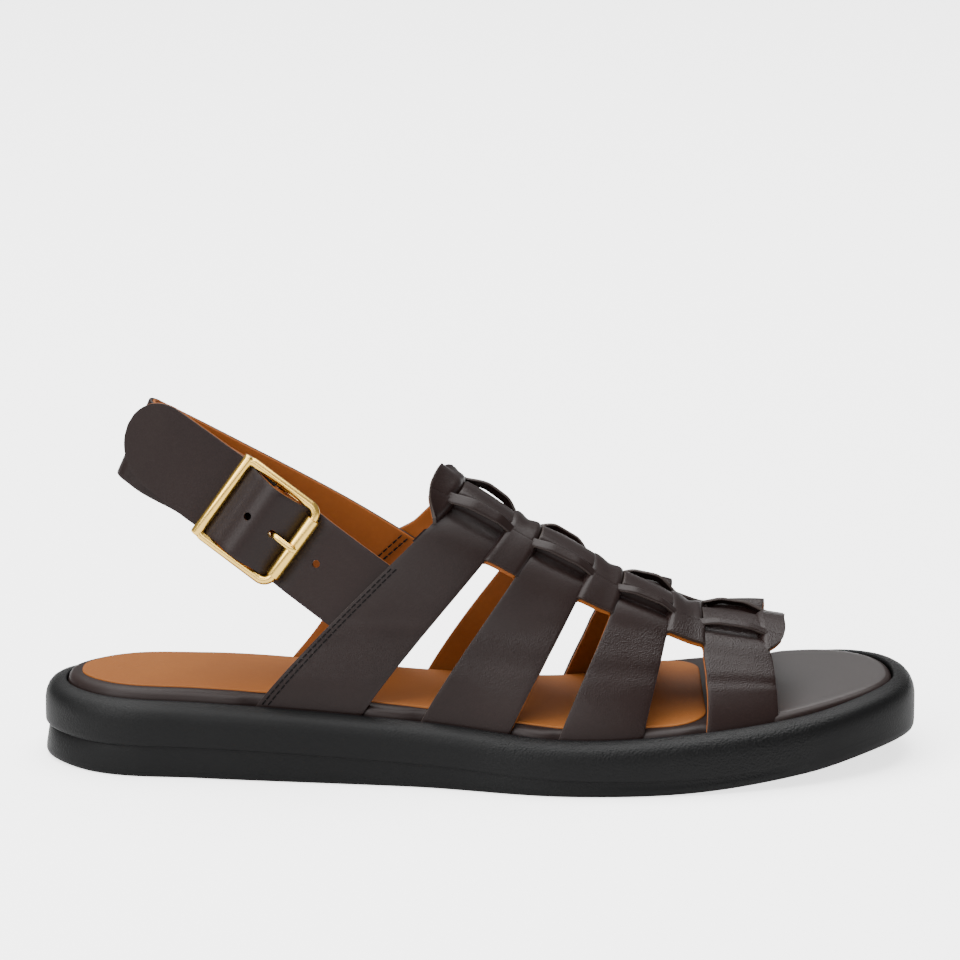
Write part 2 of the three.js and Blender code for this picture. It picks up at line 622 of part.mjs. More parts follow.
// A round bar bent along a closed outline in the buckle's plane
function bentBar(outline, radius, height) {
  const count = outline.length;
  const sides = 8;
  const positions = [];
  const index = [];
  outline.forEach((p, i) => {
    const along = outline[(i + 1) % count].clone().sub(outline[(i + count - 1) % count]).normalize();
    for (let k = 0; k < sides; k++) {
      const turn = (2 * Math.PI * k) / sides;
      const aside = radius * Math.cos(turn);
      positions.push(p.x + along.y * aside, p.y - along.x * aside, height + radius * Math.sin(turn));
      const next = (k + 1) % sides;
      const ahead = ((i + 1) % count) * sides;
      index.push(i * sides + k, ahead + k, ahead + next, i * sides + k, ahead + next, i * sides + next);
    }
  });
  const geometry = new THREE.BufferGeometry();
  geometry.setAttribute("position", new THREE.Float32BufferAttribute(positions, 3));
  geometry.setIndex(index);
  return geometry;
}

// Buckle frame: a rounded square of round bar with a middle bar let in lower
function buckleFrame() {
  const x = BUCKLE.length / 2 - BUCKLE.bar;
  const y = BUCKLE.width / 2 - BUCKLE.bar;
  const corners = [
    { x, y, radius: CORNER.front, from: 0 },
    { x: -x, y, radius: CORNER.rear, from: 90 },
    { x: -x, y: -y, radius: CORNER.rear, from: 180 },
    { x, y: -y, radius: CORNER.front, from: 270 },
  ];
  const outline = corners.flatMap((corner) =>
    [0, 22.5, 45, 67.5, 90].map((step) => {
      const turn = (corner.from + step) * RADIAN;
      const { radius } = corner;
      const centreX = corner.x - Math.sign(corner.x) * radius;
      const centreY = corner.y - Math.sign(corner.y) * radius;
      return new THREE.Vector2(centreX + radius * Math.cos(turn), centreY + radius * Math.sin(turn));
    }),
  );
  const bar = new THREE.CylinderGeometry(MIDDLE_BAR, MIDDLE_BAR, 2 * y, 12);
  const sinks = [y, -y].map((end) => {
    const post = new THREE.CylinderGeometry(MIDDLE_BAR, MIDDLE_BAR, BUCKLE.rise + MIDDLE_BAR, 12);
    post.rotateX(Math.PI / 2);
    post.translate(0, end, (BUCKLE.rise - MIDDLE_BAR) / 2);
    return solidOf(post);
  });
  const frame = solidOf(bentBar(outline, BUCKLE.bar, BUCKLE.rise)).add(solidOf(bar));
  return sinks.reduce((body, post) => body.add(post), frame);
}

// Roller: a sleeve on the buckle's front bar
function buckleRoller() {
  const { inner, outer, length } = ROLLER;
  const profile = [[inner, 0], [outer, 0], [outer, length], [inner, length], [inner, 0]];
  const sleeve = new THREE.LatheGeometry(profile.map(([r, h]) => new THREE.Vector2(r, h - length / 2)), 16);
  sleeve.translate(BUCKLE.length / 2 - BUCKLE.bar, 0, BUCKLE.rise);
  return solidOf(sleeve);
}

// Prong: a ring round the middle bar and a tongue whose tip lies on the roller
function buckleProng() {
  const inner = MIDDLE_BAR + GAP;
  const outer = inner + PRONG.thick / 1.5;
  const rollerX = BUCKLE.length / 2 - BUCKLE.bar;
  const rest = BUCKLE.rise + ROLLER.outer + GAP;
  const low = outer * PRONG_DIP;
  const tip = rollerX + PRONG_TIP;
  const shape = new THREE.Shape();
  shape.absarc(0, 0, outer, 60 * RADIAN, 330 * RADIAN, false);
  shape.lineTo(PRONG_HOLE, low);
  shape.lineTo(rollerX - PRONG_TIP, rest);
  shape.lineTo(tip, rest);
  shape.lineTo(tip, rest + PRONG.thick);
  shape.lineTo(rollerX - 2 * PRONG_TIP, rest + PRONG.thick);
  shape.lineTo(PRONG_HOLE - PRONG_TIP, low + PRONG.thick);
  shape.closePath();
  shape.holes.push(new THREE.Path().absarc(0, 0, inner, 0, 2 * Math.PI, true));
  const pull = { depth: PRONG.width, bevelEnabled: false, curveSegments: 12 };
  const prong = new THREE.ExtrudeGeometry(shape, pull);
  prong.translate(0, 0, -PRONG.width / 2);
  prong.rotateX(Math.PI / 2);
  return solidOf(prong);
}

// Materials and the assembly
const leather = new THREE.MeshStandardMaterial({ color: 0x2a1f1d, roughness: 0.5 });
const rubber = new THREE.MeshStandardMaterial({ color: 0x161718, roughness: 0.6 });
const brass = new THREE.MeshStandardMaterial({ color: 0xd9b75a, roughness: 0.2, metalness: 1 });

const shoe = new THREE.Group();
const middle = new THREE.Box2().setFromPoints(outlineRing(0)).getCenter(new THREE.Vector2());
shoe.position.set(-middle.x, -middle.y, 0);
function add(parent, name, geometry, material) {
  const mesh = new THREE.Mesh(geometry, material);
  mesh.name = name;
  parent.add(mesh);
}
const notched = STRAPS.reduce((body, strap) => body.subtract(strapSolid(strap, NOTCH)), solidOf(footbed()));
add(shoe, "outsole", outsole(), rubber);
add(shoe, "footbed", geometryOf(notched), leather);
add(shoe, "insole_sock", insoleSock(), leather);
add(shoe, "upper", geometryOf(upper()), leather);

const buckle = new THREE.Group();
buckle.applyMatrix4(buckleAxes());
shoe.add(buckle);
add(buckle, "buckle_frame", geometryOf(buckleFrame()), brass);
add(buckle, "buckle_roller", geometryOf(buckleRoller()), brass);
add(buckle, "buckle_prong", geometryOf(buckleProng()), brass);

const loopSlot = prongSlot(-LOOP_SLOT, LOOP_SLOT, LOOP_SLOT);
const strapSlot = prongSlot(PRONG_HOLE - HOLE_REACH.back, PRONG_HOLE + HOLE_REACH.front, LOOP_SLOT);
add(shoe, "heel_strap", geometryOf(tucked(heelStrap()).subtract(loopSlot)), leather);
add(shoe, "buckle_strap", geometryOf(tucked(buckleStrap()).subtract(strapSlot)), leather);

export default shoe;
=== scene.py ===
# %% [markdown]
# # A woven gladiator sandal, right foot
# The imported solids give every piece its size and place. This lesson dresses them: each leather,
# rubber and metal piece is modelled again, finer, on the same forms, and gets a procedural finish.

# %% Load the frame
import math
from functools import partial

import bpy
from mathutils import Matrix, Vector


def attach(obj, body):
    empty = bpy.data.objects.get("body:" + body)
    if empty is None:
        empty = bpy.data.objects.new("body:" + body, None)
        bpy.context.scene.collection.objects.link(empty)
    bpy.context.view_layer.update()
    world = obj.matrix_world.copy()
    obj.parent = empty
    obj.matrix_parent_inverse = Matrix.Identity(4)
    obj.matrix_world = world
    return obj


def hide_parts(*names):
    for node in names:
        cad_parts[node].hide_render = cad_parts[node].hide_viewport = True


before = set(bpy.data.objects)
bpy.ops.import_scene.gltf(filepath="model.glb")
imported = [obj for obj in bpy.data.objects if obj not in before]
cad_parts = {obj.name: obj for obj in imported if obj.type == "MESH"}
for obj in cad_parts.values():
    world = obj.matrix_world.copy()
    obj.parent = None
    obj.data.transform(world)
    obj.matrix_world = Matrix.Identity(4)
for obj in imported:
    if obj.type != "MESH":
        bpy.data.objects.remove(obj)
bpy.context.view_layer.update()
MM = 0.001
print("solids:", sorted(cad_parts))

# %% [markdown]
# ## The camera
# The photograph looks at the outer side from a little above, through a long lens. A long lens keeps
# the sole's lines almost parallel, so the camera stands far away and its focal length does the
# framing.

# %% Camera
CAMERA_DISTANCE = 1.4
CAMERA_ELEVATION = math.radians(14)
CAMERA_LENS = 175
CAMERA_SENSOR = 36
CAMERA_CLIP = (0.05, 20)
AIM = Vector((0, 0, 0.085))

bpy.ops.object.select_all(action="DESELECT")
back = Vector((0, -math.cos(CAMERA_ELEVATION), math.sin(CAMERA_ELEVATION)))
bpy.ops.object.camera_add(location=AIM + back * CAMERA_DISTANCE)
camera = bpy.context.object
camera.rotation_euler = (-back).to_track_quat("-Z", "Y").to_euler()
camera.data.lens = CAMERA_LENS
camera.data.sensor_width = CAMERA_SENSOR
camera.data.clip_start, camera.data.clip_end = CAMERA_CLIP
bpy.context.scene.camera = camera
print("camera stands", CAMERA_DISTANCE, "m away")

# %% [markdown]
# ## Tables of the last and the sole
# A shoemaker works from a last and a sole pattern. Both are kept here as short tables in
# millimetres, with a smooth curve through the rows, so every piece below can ask where the surface
# is at any place. The sole's tables give its half widths and its heights from the heel, at 0, to
# the toe, at 1.


# %% Smooth tables
def table(columns, rows):
    names = columns.split()
    return [dict(zip(names, row)) for row in rows]


def clamp(t):
    return min(max(t, 0.0), 1.0)


def smooth(t):
    t = clamp(t)
    return t * t * (3 - 2 * t)


def step(value, low, high):
    return smooth((value - low) / (high - low))


def mix(a, b, t):
    return a + (b - a) * t


def lookup(rows, key, at):
    last = len(rows) - 1
    if at <= rows[0]["at"]:
        return rows[0][key]
    if at >= rows[last]["at"]:
        return rows[last][key]

    def slope(i):
        if i in (0, last):
            return 0.0
        return (rows[i + 1][key] - rows[i - 1][key]) / (rows[i + 1]["at"] - rows[i - 1]["at"])

    i = max(k for k in range(last) if rows[k]["at"] <= at)
    span = rows[i + 1]["at"] - rows[i]["at"]
    t = (at - rows[i]["at"]) / span
    rest = 1 - t
    start = rows[i][key] * (1 + 2 * t) * rest * rest
    end = rows[i + 1][key] * (3 - 2 * t) * t * t
    return start + end + span * t * rest * (slope(i) * rest - slope(i + 1) * t)


# %% Sole pattern
LENGTH = 264.0
BLUNTNESS = 0.86
TIP = 1e-6
NUDGE = 0.0005
EDGE_STEPS = 400
OTHER_SIDE = {"lateral": "medial", "medial": "lateral"}
OUTLINE = table(
    "at lateral medial",
    [
        (0.05, 23.0, 23.0),
        (0.18, 31.2, 29.5),
        (0.42, 39.6, 23.0),
        (0.58, 49.2, 28.0),
        (0.7, 49.0, 42.0),
        (0.86, 39.0, 43.0),
        (0.95, 25.5, 32.0),
    ],
)
HEIGHTS = table(
    "at lift step rim bed",
    [
        (0.0, 0.6, 9.6, 23.0, 25.6),
        (0.06, 0.0, 9.6, 22.8, 25.8),
        (0.25, 0.0, 9.2, 21.6, 25.0),
        (0.45, 0.0, 7.0, 18.6, 21.8),
        (0.6, 0.0, 5.0, 16.0, 18.4),
        (0.74, 0.5, 4.6, 16.8, 18.6),
        (0.87, 3.8, 4.4, 16.4, 17.6),
        (1.0, 8.6, 4.2, 16.6, 16.0),
    ],
)


def end_round(at):
    return (2 * math.sqrt(max(at * (1 - at), 0.0))) ** BLUNTNESS


ROUNDED = table(
    "at lateral medial",
    [(r["at"], r["lateral"] / end_round(r["at"]), r["medial"] / end_round(r["at"])) for r in OUTLINE],
)


def half_width(side, at):
    return end_round(at) * lookup(ROUNDED, side, at)


def level(name, at):
    lift = max(lookup(HEIGHTS, "lift", at), 0.0)
    return lift if name == "lift" else lift + lookup(HEIGHTS, name, at)


def outline_point(side, at, inset):
    sign = -1 if side == "lateral" else 1
    at = clamp(at)
    if min(at, 1 - at) < TIP:
        return LENGTH * at + (inset if at < 0.5 else -inset), 0.0
    nudge = min(NUDGE, at / 2, (1 - at) / 2)
    dx = 2 * nudge * LENGTH
    dy = sign * (half_width(side, at + nudge) - half_width(side, at - nudge))
    long = math.hypot(dx, dy)
    x = LENGTH * at + sign * dy / long * inset
    return x, sign * half_width(side, at) - sign * dx / long * inset


edge_shares = [k / EDGE_STEPS for k in range(EDGE_STEPS + 1)]
edge_ys = [outline_point(side, at, 0)[1] for side in OTHER_SIDE for at in edge_shares]
SHIFT = Vector((-LENGTH / 2, -(min(edge_ys) + max(edge_ys)) / 2, 0))
print("sole is", LENGTH, "mm long and", round(max(edge_ys) - min(edge_ys), 1), "mm wide")


# %% Places in the part's frame
def placed(x, y, z):
    return (Vector((x, y, z)) + SHIFT) * MM


# %% [markdown]
# ## Sheets laid on a form
# A strap, a sole side or a footbed is a sheet that follows a form. By hand one would add a grid and
# push it onto the form. The helper does the same: it adds Blender's grid at its number of squares,
# and a function lays each vertex. Solidify then gives the sheet its thickness and Bevel rounds its
# cut edges.

# %% Grid helper
SEAM_GAP = 1e-6
FLAT_FACE = 1e-7
CUT_SEGMENTS = 3
CUT_ANGLE = math.radians(50)
LEATHER_ANGLE = 45
ROUND_ANGLE = 60


def laid_grid(name, across, along, place):
    bpy.ops.object.select_all(action="DESELECT")
    bpy.ops.mesh.primitive_grid_add(x_subdivisions=across, y_subdivisions=along, size=1)
    piece = bpy.context.object
    piece.name = name
    piece.data.name = name
    for vertex in piece.data.vertices:
        vertex.co = place(vertex.co.x + 0.5, vertex.co.y + 0.5)
    return piece


def pick(piece):
    bpy.ops.object.select_all(action="DESELECT")
    piece.select_set(True)
    bpy.context.view_layer.objects.active = piece


def apply_modifiers(piece):
    pick(piece)
    for modifier in list(piece.modifiers):
        bpy.ops.object.modifier_apply(modifier=modifier.name)


def close_seams(piece):
    pick(piece)
    bpy.ops.object.mode_set(mode="EDIT")
    bpy.ops.mesh.select_all(action="SELECT")
    bpy.ops.mesh.remove_doubles(threshold=SEAM_GAP)
    bpy.ops.mesh.dissolve_degenerate(threshold=FLAT_FACE)
    bpy.ops.mesh.normals_make_consistent(inside=False)
    bpy.ops.object.mode_set(mode="OBJECT")


def soften(piece, degrees):
    pick(piece)
    bpy.ops.object.shade_smooth_by_angle(angle=math.radians(degrees))


def thicken(piece, thickness, rounding):
    wall = piece.modifiers.new("wall", "SOLIDIFY")
    wall.thickness = thickness * MM
    wall.offset = -1
    wall.use_even_offset = False
    # The rim takes the piece's second finish; on brown leather that is the lighter cut edge, partly raw
    # leather and partly a painted highlight along the edge.
    wall.material_offset_rim = 1
    edge = piece.modifiers.new("edge", "BEVEL")
    edge.width = rounding * MM
    edge.segments = CUT_SEGMENTS
    edge.limit_method = "ANGLE"
    edge.angle_limit = CUT_ANGLE
    apply_modifiers(piece)


def join(pieces, name):
    bpy.ops.object.select_all(action="DESELECT")
    for piece in pieces:
        piece.select_set(True)
    bpy.context.view_layer.objects.active = pieces[0]
    bpy.ops.object.join()
    whole = bpy.context.object
    whole.name = name
    whole.data.name = name
    return whole


def row_at(rows, share):
    return rows[round(share * (len(rows) - 1))]


def finish_piece(piece, material_slot, *nodes):
    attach(piece, "root")
    if nodes:
        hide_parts(*nodes)
    print(piece.name, len(piece.data.polygons), "faces")


# %% [markdown]
# ## Finishes
# All patterns read Object coordinates in metres, so a grain has the same size on every piece.
# Effects that several finishes share are node groups: a grain that comes and goes in patches, and a
# slow change of tone. Leather creases most where it bends, so the patches can be gathered at the
# height where the straps turn up from the sole.


# %% Node helpers
def new_group(name, inputs, outputs):
    group = bpy.data.node_groups.new(name, "ShaderNodeTree")
    for socket, kind, value in inputs:
        made = group.interface.new_socket(socket, in_out="INPUT", socket_type=kind)
        made.default_value = value
    for socket, kind in outputs:
        group.interface.new_socket(socket, in_out="OUTPUT", socket_type=kind)
    return group, group.nodes.new("NodeGroupInput"), group.nodes.new("NodeGroupOutput")


def node(tree, kind, links=None, **settings):
    made = tree.nodes.new(kind)
    for key, value in settings.items():
        setattr(made, key, value)
    for socket, value in (links or {}).items():
        target = made.inputs[socket]
        if isinstance(value, bpy.types.NodeSocket):
            tree.links.new(value, target)
        else:
            target.default_value = value
    return made


def maths(tree, operation, a, b):
    return node(tree, "ShaderNodeMath", {0: a, 1: b}, operation=operation).outputs[0]


def ramp(tree, factor, low, high):
    values = {"Value": factor, "From Min": low, "From Max": high}
    return node(tree, "ShaderNodeMapRange", values, interpolation_type="SMOOTHSTEP").outputs["Result"]


def noise(tree, where, size, detail):
    values = {"Vector": where, "Scale": size, "Detail": detail}
    return node(tree, "ShaderNodeTexNoise", values).outputs["Fac"]


# %% Grain group
FLOAT = "NodeSocketFloat"
BEND_FOOT = (0.024, 0.035)
BEND_HEAD = (0.052, 0.041)
PATCH_RANGE = (0.42, 0.66)
PORES_TO_PEBBLES = 2.7
grain, grain_in, grain_out = new_group(
    "grain",
    [
        ("Size", FLOAT, 900.0),
        ("Patch Size", FLOAT, 26.0),
        ("Rest", FLOAT, 0.25),
        ("Fine", FLOAT, 0.25),
        ("Bias", FLOAT, 0.0),
        ("Bend", FLOAT, 0.0),
    ],
    [("Height", FLOAT), ("Patch", FLOAT)],
)
where = node(grain, "ShaderNodeTexCoord").outputs["Object"]
up = node(grain, "ShaderNodeSeparateXYZ", {"Vector": where}).outputs["Z"]
bend = maths(grain, "MULTIPLY", ramp(grain, up, *BEND_FOOT), ramp(grain, up, *BEND_HEAD))
pebble = node(
    grain,
    "ShaderNodeTexVoronoi",
    {"Vector": where, "Scale": grain_in.outputs["Size"], "Randomness": 1.0},
    feature="F1",
)
fine_size = maths(grain, "MULTIPLY", grain_in.outputs["Size"], PORES_TO_PEBBLES)
pores = noise(grain, where, fine_size, 2.0)
cloud = noise(grain, where, grain_in.outputs["Patch Size"], 3.0)
gathered = maths(grain, "MULTIPLY", bend, grain_in.outputs["Bend"])
spread = maths(grain, "ADD", maths(grain, "ADD", cloud, grain_in.outputs["Bias"]), gathered)
patch = ramp(grain, spread, *PATCH_RANGE)
strength = maths(grain, "MAXIMUM", patch, grain_in.outputs["Rest"])
bumps = maths(grain, "MULTIPLY", pebble.outputs["Distance"], strength)
fine = maths(grain, "MULTIPLY", pores, grain_in.outputs["Fine"])
grain.links.new(maths(grain, "ADD", bumps, fine), grain_out.inputs["Height"])
grain.links.new(patch, grain_out.inputs["Patch"])

# %% Tone group
COLOR = "NodeSocketColor"
WHITE = (1, 1, 1, 1)
CLOUD_RANGE = (0.3, 0.7)
CLOUD_SHARE = 0.8
SPECK_SIZE = 700.0
SPECK_RANGE = (0.45, 0.75)
SPECK_SHARE = 0.2
tone, tone_in, tone_out = new_group(
    "tone",
    [("Base", COLOR, WHITE), ("Other", COLOR, WHITE), ("Size", FLOAT, 20.0)],
    [("Color", COLOR)],
)
where = node(tone, "ShaderNodeTexCoord").outputs["Object"]
cloud = ramp(tone, noise(tone, where, tone_in.outputs["Size"], 4.0), *CLOUD_RANGE)
specks = ramp(tone, noise(tone, where, SPECK_SIZE, 1.0), *SPECK_RANGE)
speck = maths(tone, "MULTIPLY", specks, SPECK_SHARE)
share = maths(tone, "ADD", maths(tone, "MULTIPLY", cloud, CLOUD_SHARE), speck)
blend = node(
    tone,
    "ShaderNodeMix",
    {"Factor": share, "A": tone_in.outputs["Base"], "B": tone_in.outputs["Other"]},
    data_type="RGBA",
)
tone.links.new(blend.outputs["Result"], tone_out.inputs["Color"])
print("node groups:", grain.name, tone.name)


# %% Finish helper
def finish(colours, surface, grain_values):
    material = bpy.data.materials.new(colours["name"])
    material.use_nodes = True
    tree = material.node_tree
    tree.nodes.clear()
    out = node(tree, "ShaderNodeOutputMaterial")
    values = {"Specular IOR Level": surface["specular"], "Metallic": surface["metallic"]}
    shader = node(tree, "ShaderNodeBsdfPrincipled", values)
    tree.links.new(shader.outputs["BSDF"], out.inputs["Surface"])
    values = {"Base": (*colours["base"], 1), "Other": (*colours["other"], 1), "Size": colours["cloud"]}
    colour = node(tree, "ShaderNodeGroup", values, node_tree=tone)
    tree.links.new(colour.outputs["Color"], shader.inputs["Base Color"])
    texture = node(tree, "ShaderNodeGroup", grain_values, node_tree=grain)
    values = {"Height": texture.outputs["Height"], "Distance": surface["bump"] * MM, "Strength": 1.0}
    relief = node(tree, "ShaderNodeBump", values)
    tree.links.new(relief.outputs["Normal"], shader.inputs["Normal"])
    values = {"To Min": surface["rough"], "To Max": surface["rough_patch"]}
    values["Value"] = texture.outputs["Patch"]
    sheen = node(tree, "ShaderNodeMapRange", values)
    tree.links.new(sheen.outputs["Result"], shader.inputs["Roughness"])
    return material


# %% Leather, rubber, metal and thread
COLOURS = table(
    "name base other cloud",
    [
        ("brown_leather", (0.0078, 0.0033, 0.0027), (0.0112, 0.0053, 0.0045), 20.0),
        # The cut edge is lighter than the face: partly raw leather, partly a painted highlight along the
        # edge.
        ("cut_edge", (0.020, 0.013, 0.0105), (0.027, 0.018, 0.0145), 20.0),
        ("footbed_leather", (0.0100, 0.0056, 0.0050), (0.0140, 0.0086, 0.0078), 20.0),
        ("tan_leather", (0.20, 0.056, 0.0090), (0.25, 0.074, 0.0130), 20.0),
        ("sock_leather", (0.170, 0.053, 0.0088), (0.208, 0.070, 0.0130), 14.0),
        ("sole_rubber", (0.0012, 0.0013, 0.0014), (0.0020, 0.0021, 0.0022), 20.0),
        ("buckle_gold", (0.80, 0.50, 0.10), (0.86, 0.56, 0.13), 20.0),
        ("thread", (0.0022, 0.0014, 0.0013), (0.0034, 0.0022, 0.0020), 20.0),
    ],
)
SURFACES = table(
    "name rough rough_patch bump specular metallic",
    [
        ("brown_leather", 0.40, 0.33, 0.12, 0.2, 0.0),
        ("cut_edge", 0.5, 0.44, 0.05, 0.3, 0.0),
        ("footbed_leather", 0.44, 0.40, 0.02, 0.15, 0.0),
        ("tan_leather", 0.55, 0.48, 0.04, 0.2, 0.0),
        ("sock_leather", 0.58, 0.50, 0.03, 0.15, 0.0),
        ("sole_rubber", 0.54, 0.42, 0.17, 0.16, 0.0),
        ("buckle_gold", 0.24, 0.28, 0.004, 0.5, 1.0),
        ("thread", 0.6, 0.5, 0.03, 0.1, 0.0),
    ],
)
GRAINS = {
    "brown_leather": {"Size": 2200.0, "Patch Size": 24.0, "Rest": 0.2, "Fine": 0.15},
    "cut_edge": {"Size": 2600.0, "Patch Size": 40.0, "Rest": 0.3, "Fine": 0.3},
    "footbed_leather": {"Size": 2200.0, "Patch Size": 12.0, "Rest": 0.1, "Fine": 0.1},
    "tan_leather": {"Size": 1900.0, "Patch Size": 30.0, "Rest": 0.3, "Fine": 0.3},
    "sock_leather": {"Size": 2000.0, "Patch Size": 18.0, "Rest": 0.2, "Fine": 0.25},
    "sole_rubber": {"Size": 1700.0, "Patch Size": 17.0, "Rest": 0.05, "Fine": 0.2},
    "buckle_gold": {"Size": 500.0, "Patch Size": 60.0, "Rest": 0.0, "Fine": 0.05},
    "thread": {"Size": 3000.0, "Patch Size": 40.0, "Rest": 0.5, "Fine": 0.4},
}
GRAINS["brown_leather"].update({"Bias": -0.12, "Bend": 0.34})
finishes = {}
for colours, surface in zip(COLOURS, SURFACES):
    finishes[colours["name"]] = finish(colours, surface, GRAINS[colours["name"]])


def paint(piece, *names):
    for name in names:
        piece.data.materials.append(finishes[name])


# %% [markdown]
# ## Polish on the toe
# The flat of the footbed is bare in front of the last strap, and it mirrors the pale room there. A
# thin coat does that: it starts past the sock and only lies where the surface looks straight up, so
# the rounded edge stays dull.

# %% Toe coat
POLISH_ALONG = (0.06, 0.1)
POLISH_FLAT = (0.95, 0.998)
POLISH_ROUGHNESS = 0.36
toe_tree = finishes["footbed_leather"].node_tree
toe_shader = toe_tree.nodes["Principled BSDF"]
toe_place = node(toe_tree, "ShaderNodeTexCoord").outputs
toe_along = node(toe_tree, "ShaderNodeSeparateXYZ", {"Vector": toe_place["Object"]}).outputs["X"]
toe_up = node(toe_tree, "ShaderNodeSeparateXYZ", {"Vector": toe_place["Normal"]}).outputs["Z"]
ahead = ramp(toe_tree, toe_along, *POLISH_ALONG)
flat = ramp(toe_tree, toe_up, *POLISH_FLAT)
toe_tree.links.new(maths(toe_tree, "MULTIPLY", ahead, flat), toe_shader.inputs["Coat Weight"])
toe_shader.inputs["Coat Roughness"].default_value = POLISH_ROUGHNESS
print("finishes:", sorted(finishes))

# %% [markdown]
# ## Cup sole
# The sole is moulded rubber: a tread layer, a step line round the side, a rounded rim and a cup
# that holds the footbed. Its side profile is the same all round, so one sheet is wrapped along the
# outline: the grid's width runs once round the shoe, its length climbs the profile, and the seam is
# merged afterwards.

# %% Sole rings
RIM_WIDTH = 6.7
CUP_FLOOR = 3.0
RING_SQUARES = 240
SOLE_PROFILE = table(
    "inset level rise crease",
    [
        (1.8, "lift", 0.0, 0.0),
        (1.0, "lift", 0.12, 0.0),
        (0.4, "lift", 0.5, 0.0),
        (0.1, "lift", 1.2, 0.0),
        (0.02, "lift", 2.4, 0.08),
        (0.0, "step", -2.0, 0.5),
        (0.0, "step", -1.0, 0.8),
        (0.0, "step", -0.25, 1.0),
        (0.0, "step", -0.05, 1.05),
        (0.0, "step", 0.1, 0.9),
        (0.0, "step", 0.25, 0.2),
        (0.0, "step", 0.7, 0.03),
        (0.0, "step", 1.8, 0.0),
        (0.0, "step", 3.6, 0.0),
        (0.05, "rim", -6.0, 0.0),
        (0.35, "rim", -4.2, 0.0),
        (0.95, "rim", -2.8, 0.0),
        (1.8, "rim", -1.75, 0.0),
        (2.9, "rim", -1.0, 0.0),
        (4.1, "rim", -0.5, 0.0),
        (5.3, "rim", -0.15, 0.0),
        (6.2, "rim", 0.0, 0.0),
        (6.55, "rim", -0.15, 0.0),
        (RIM_WIDTH, "rim", -0.7, 0.0),
        (RIM_WIDTH, "rim", -2.2, 0.0),
    ],
)
CREASE = table(
    "at depth",
    [(0.0, 2.0), (0.04, 1.7), (0.14, 0.7), (0.6, 0.5), (0.76, 0.25), (0.88, 0.0), (1.0, 0.0)],
)


def ring_share(u):
    turn = 2 * u
    return ("lateral", turn) if turn <= 1 else ("medial", 2 - turn)


def ring_place(u):
    side, share = ring_share(u)
    return side, (1 - math.cos(math.pi * share)) / 2


def toward_middle(side, at, inset, t):
    x, y = outline_point(side, at, inset)
    far_x, far_y = outline_point(OTHER_SIDE[side], at, inset)
    return mix(x, (x + far_x) / 2, t), mix(y, (y + far_y) / 2, t)


def wrapped(name, around, rows, place, finish_name):
    piece = laid_grid(name, around, rows, place)
    close_seams(piece)
    soften(piece, ROUND_ANGLE)
    paint(piece, finish_name)
    return piece


# %% Sole piece
CUP_ROW = {"inset": RIM_WIDTH, "level": "step", "rise": CUP_FLOOR, "crease": 0.0}
SOLE_ROWS = [(SOLE_PROFILE[0], t) for t in (1.0, 0.66, 0.33)]
SOLE_ROWS += [(row, 0.0) for row in SOLE_PROFILE]
SOLE_ROWS += [(CUP_ROW, t) for t in (0.0, 0.5, 1.0)]


def sole_place(u, v):
    row, t = row_at(SOLE_ROWS, v)
    side, at = ring_place(u)
    inset = row["inset"] + row["crease"] * lookup(CREASE, "depth", at)
    x, y = toward_middle(side, at, inset, t)
    return placed(x, y, level(row["level"], x / LENGTH) + row["rise"])


sole = wrapped("cup_sole", RING_SQUARES, len(SOLE_ROWS) - 1, sole_place, "sole_rubber")
finish_piece(sole, "sole_rubber", "outsole")

# %% [markdown]
# ## Footbed and sock
# The footbed is a board wrapped in dark leather that stands a little above the rim. The tan sock is
# glued on it and ends in round corners under the front strap. Both are wrapped sheets again. The
# straps go down beside the footbed, so its edge is pressed in a little wherever a strap passes.
# Where the straps stand is read from the sections of the last, one for the rear and one for the
# front edge of each strap and one more at both ends. A section has its middle line, the place of
# its foot on the sole, how much further forward that is on the inner side, the ridge's place and
# height, and how full and how wide the arch is.

# %% Sections of the last
SECTIONS = table(
    "at middle base medial ridge height round spread",
    [
        (-1, -1.0, 31.0, 7.0, 108.0, 91.0, 2.5, 1.0),
        (0, -2.0, 62.5, 7.0, 126.5, 82.4, 2.5, 1.0),
        (1, -3.5, 94.6, 3.0, 141.7, 73.0, 2.4, 1.0),
        (2, -4.5, 112.6, 0.0, 149.6, 69.0, 2.2, 1.02),
        (3, -5.0, 139.6, 1.0, 165.5, 60.3, 1.9, 1.05),
        (4, -4.5, 154.0, 2.0, 174.3, 55.2, 1.75, 1.07),
        (5, -2.5, 179.2, 4.0, 189.2, 47.4, 1.7, 1.1),
        (6, -1.0, 198.2, 6.5, 198.6, 43.2, 1.62, 1.12),
        (7, 0.0, 219.8, 3.0, 216.2, 40.2, 1.6, 1.12),
        (8, 0.5, 239.0, 6.5, 232.7, 37.3, 1.6, 1.12),
    ],
)
STRAPS = range(4)

# %% Footbed
SOCK_THICKNESS = 0.5
TOE_RISE = 1.2
TOE_SPAN = (0.76, 0.9)
TOE_FLATTER = 0.25
STRAP_PRESS = 1.9
PRESS_OUT = 5
PRESS_IN = 1
FOOTBED_EDGE = table(
    "inset drop",
    [
        (6.95, 9.0),
        (6.95, 4.4),
        (7.0, 3.2),
        (7.2, 2.2),
        (7.65, 1.35),
        (8.3, 0.72),
        (9.2, 0.3),
        (10.2, 0.08),
        (11.2, 0.0),
    ],
)


def strap_base(section, side):
    extra = lookup(SECTIONS, "medial", section) if side == "medial" else 0
    return lookup(SECTIONS, "base", section) + extra


def strap_press(side, x):
    inside = 0.0
    for strap in STRAPS:
        start = strap_base(2 * strap, side)
        end = strap_base(2 * strap + 1, side)
        past_rear = step(x, start - PRESS_OUT, start + PRESS_IN)
        past_front = step(x, end - PRESS_IN, end + PRESS_OUT)
        inside = max(inside, past_rear * (1 - past_front))
    return inside


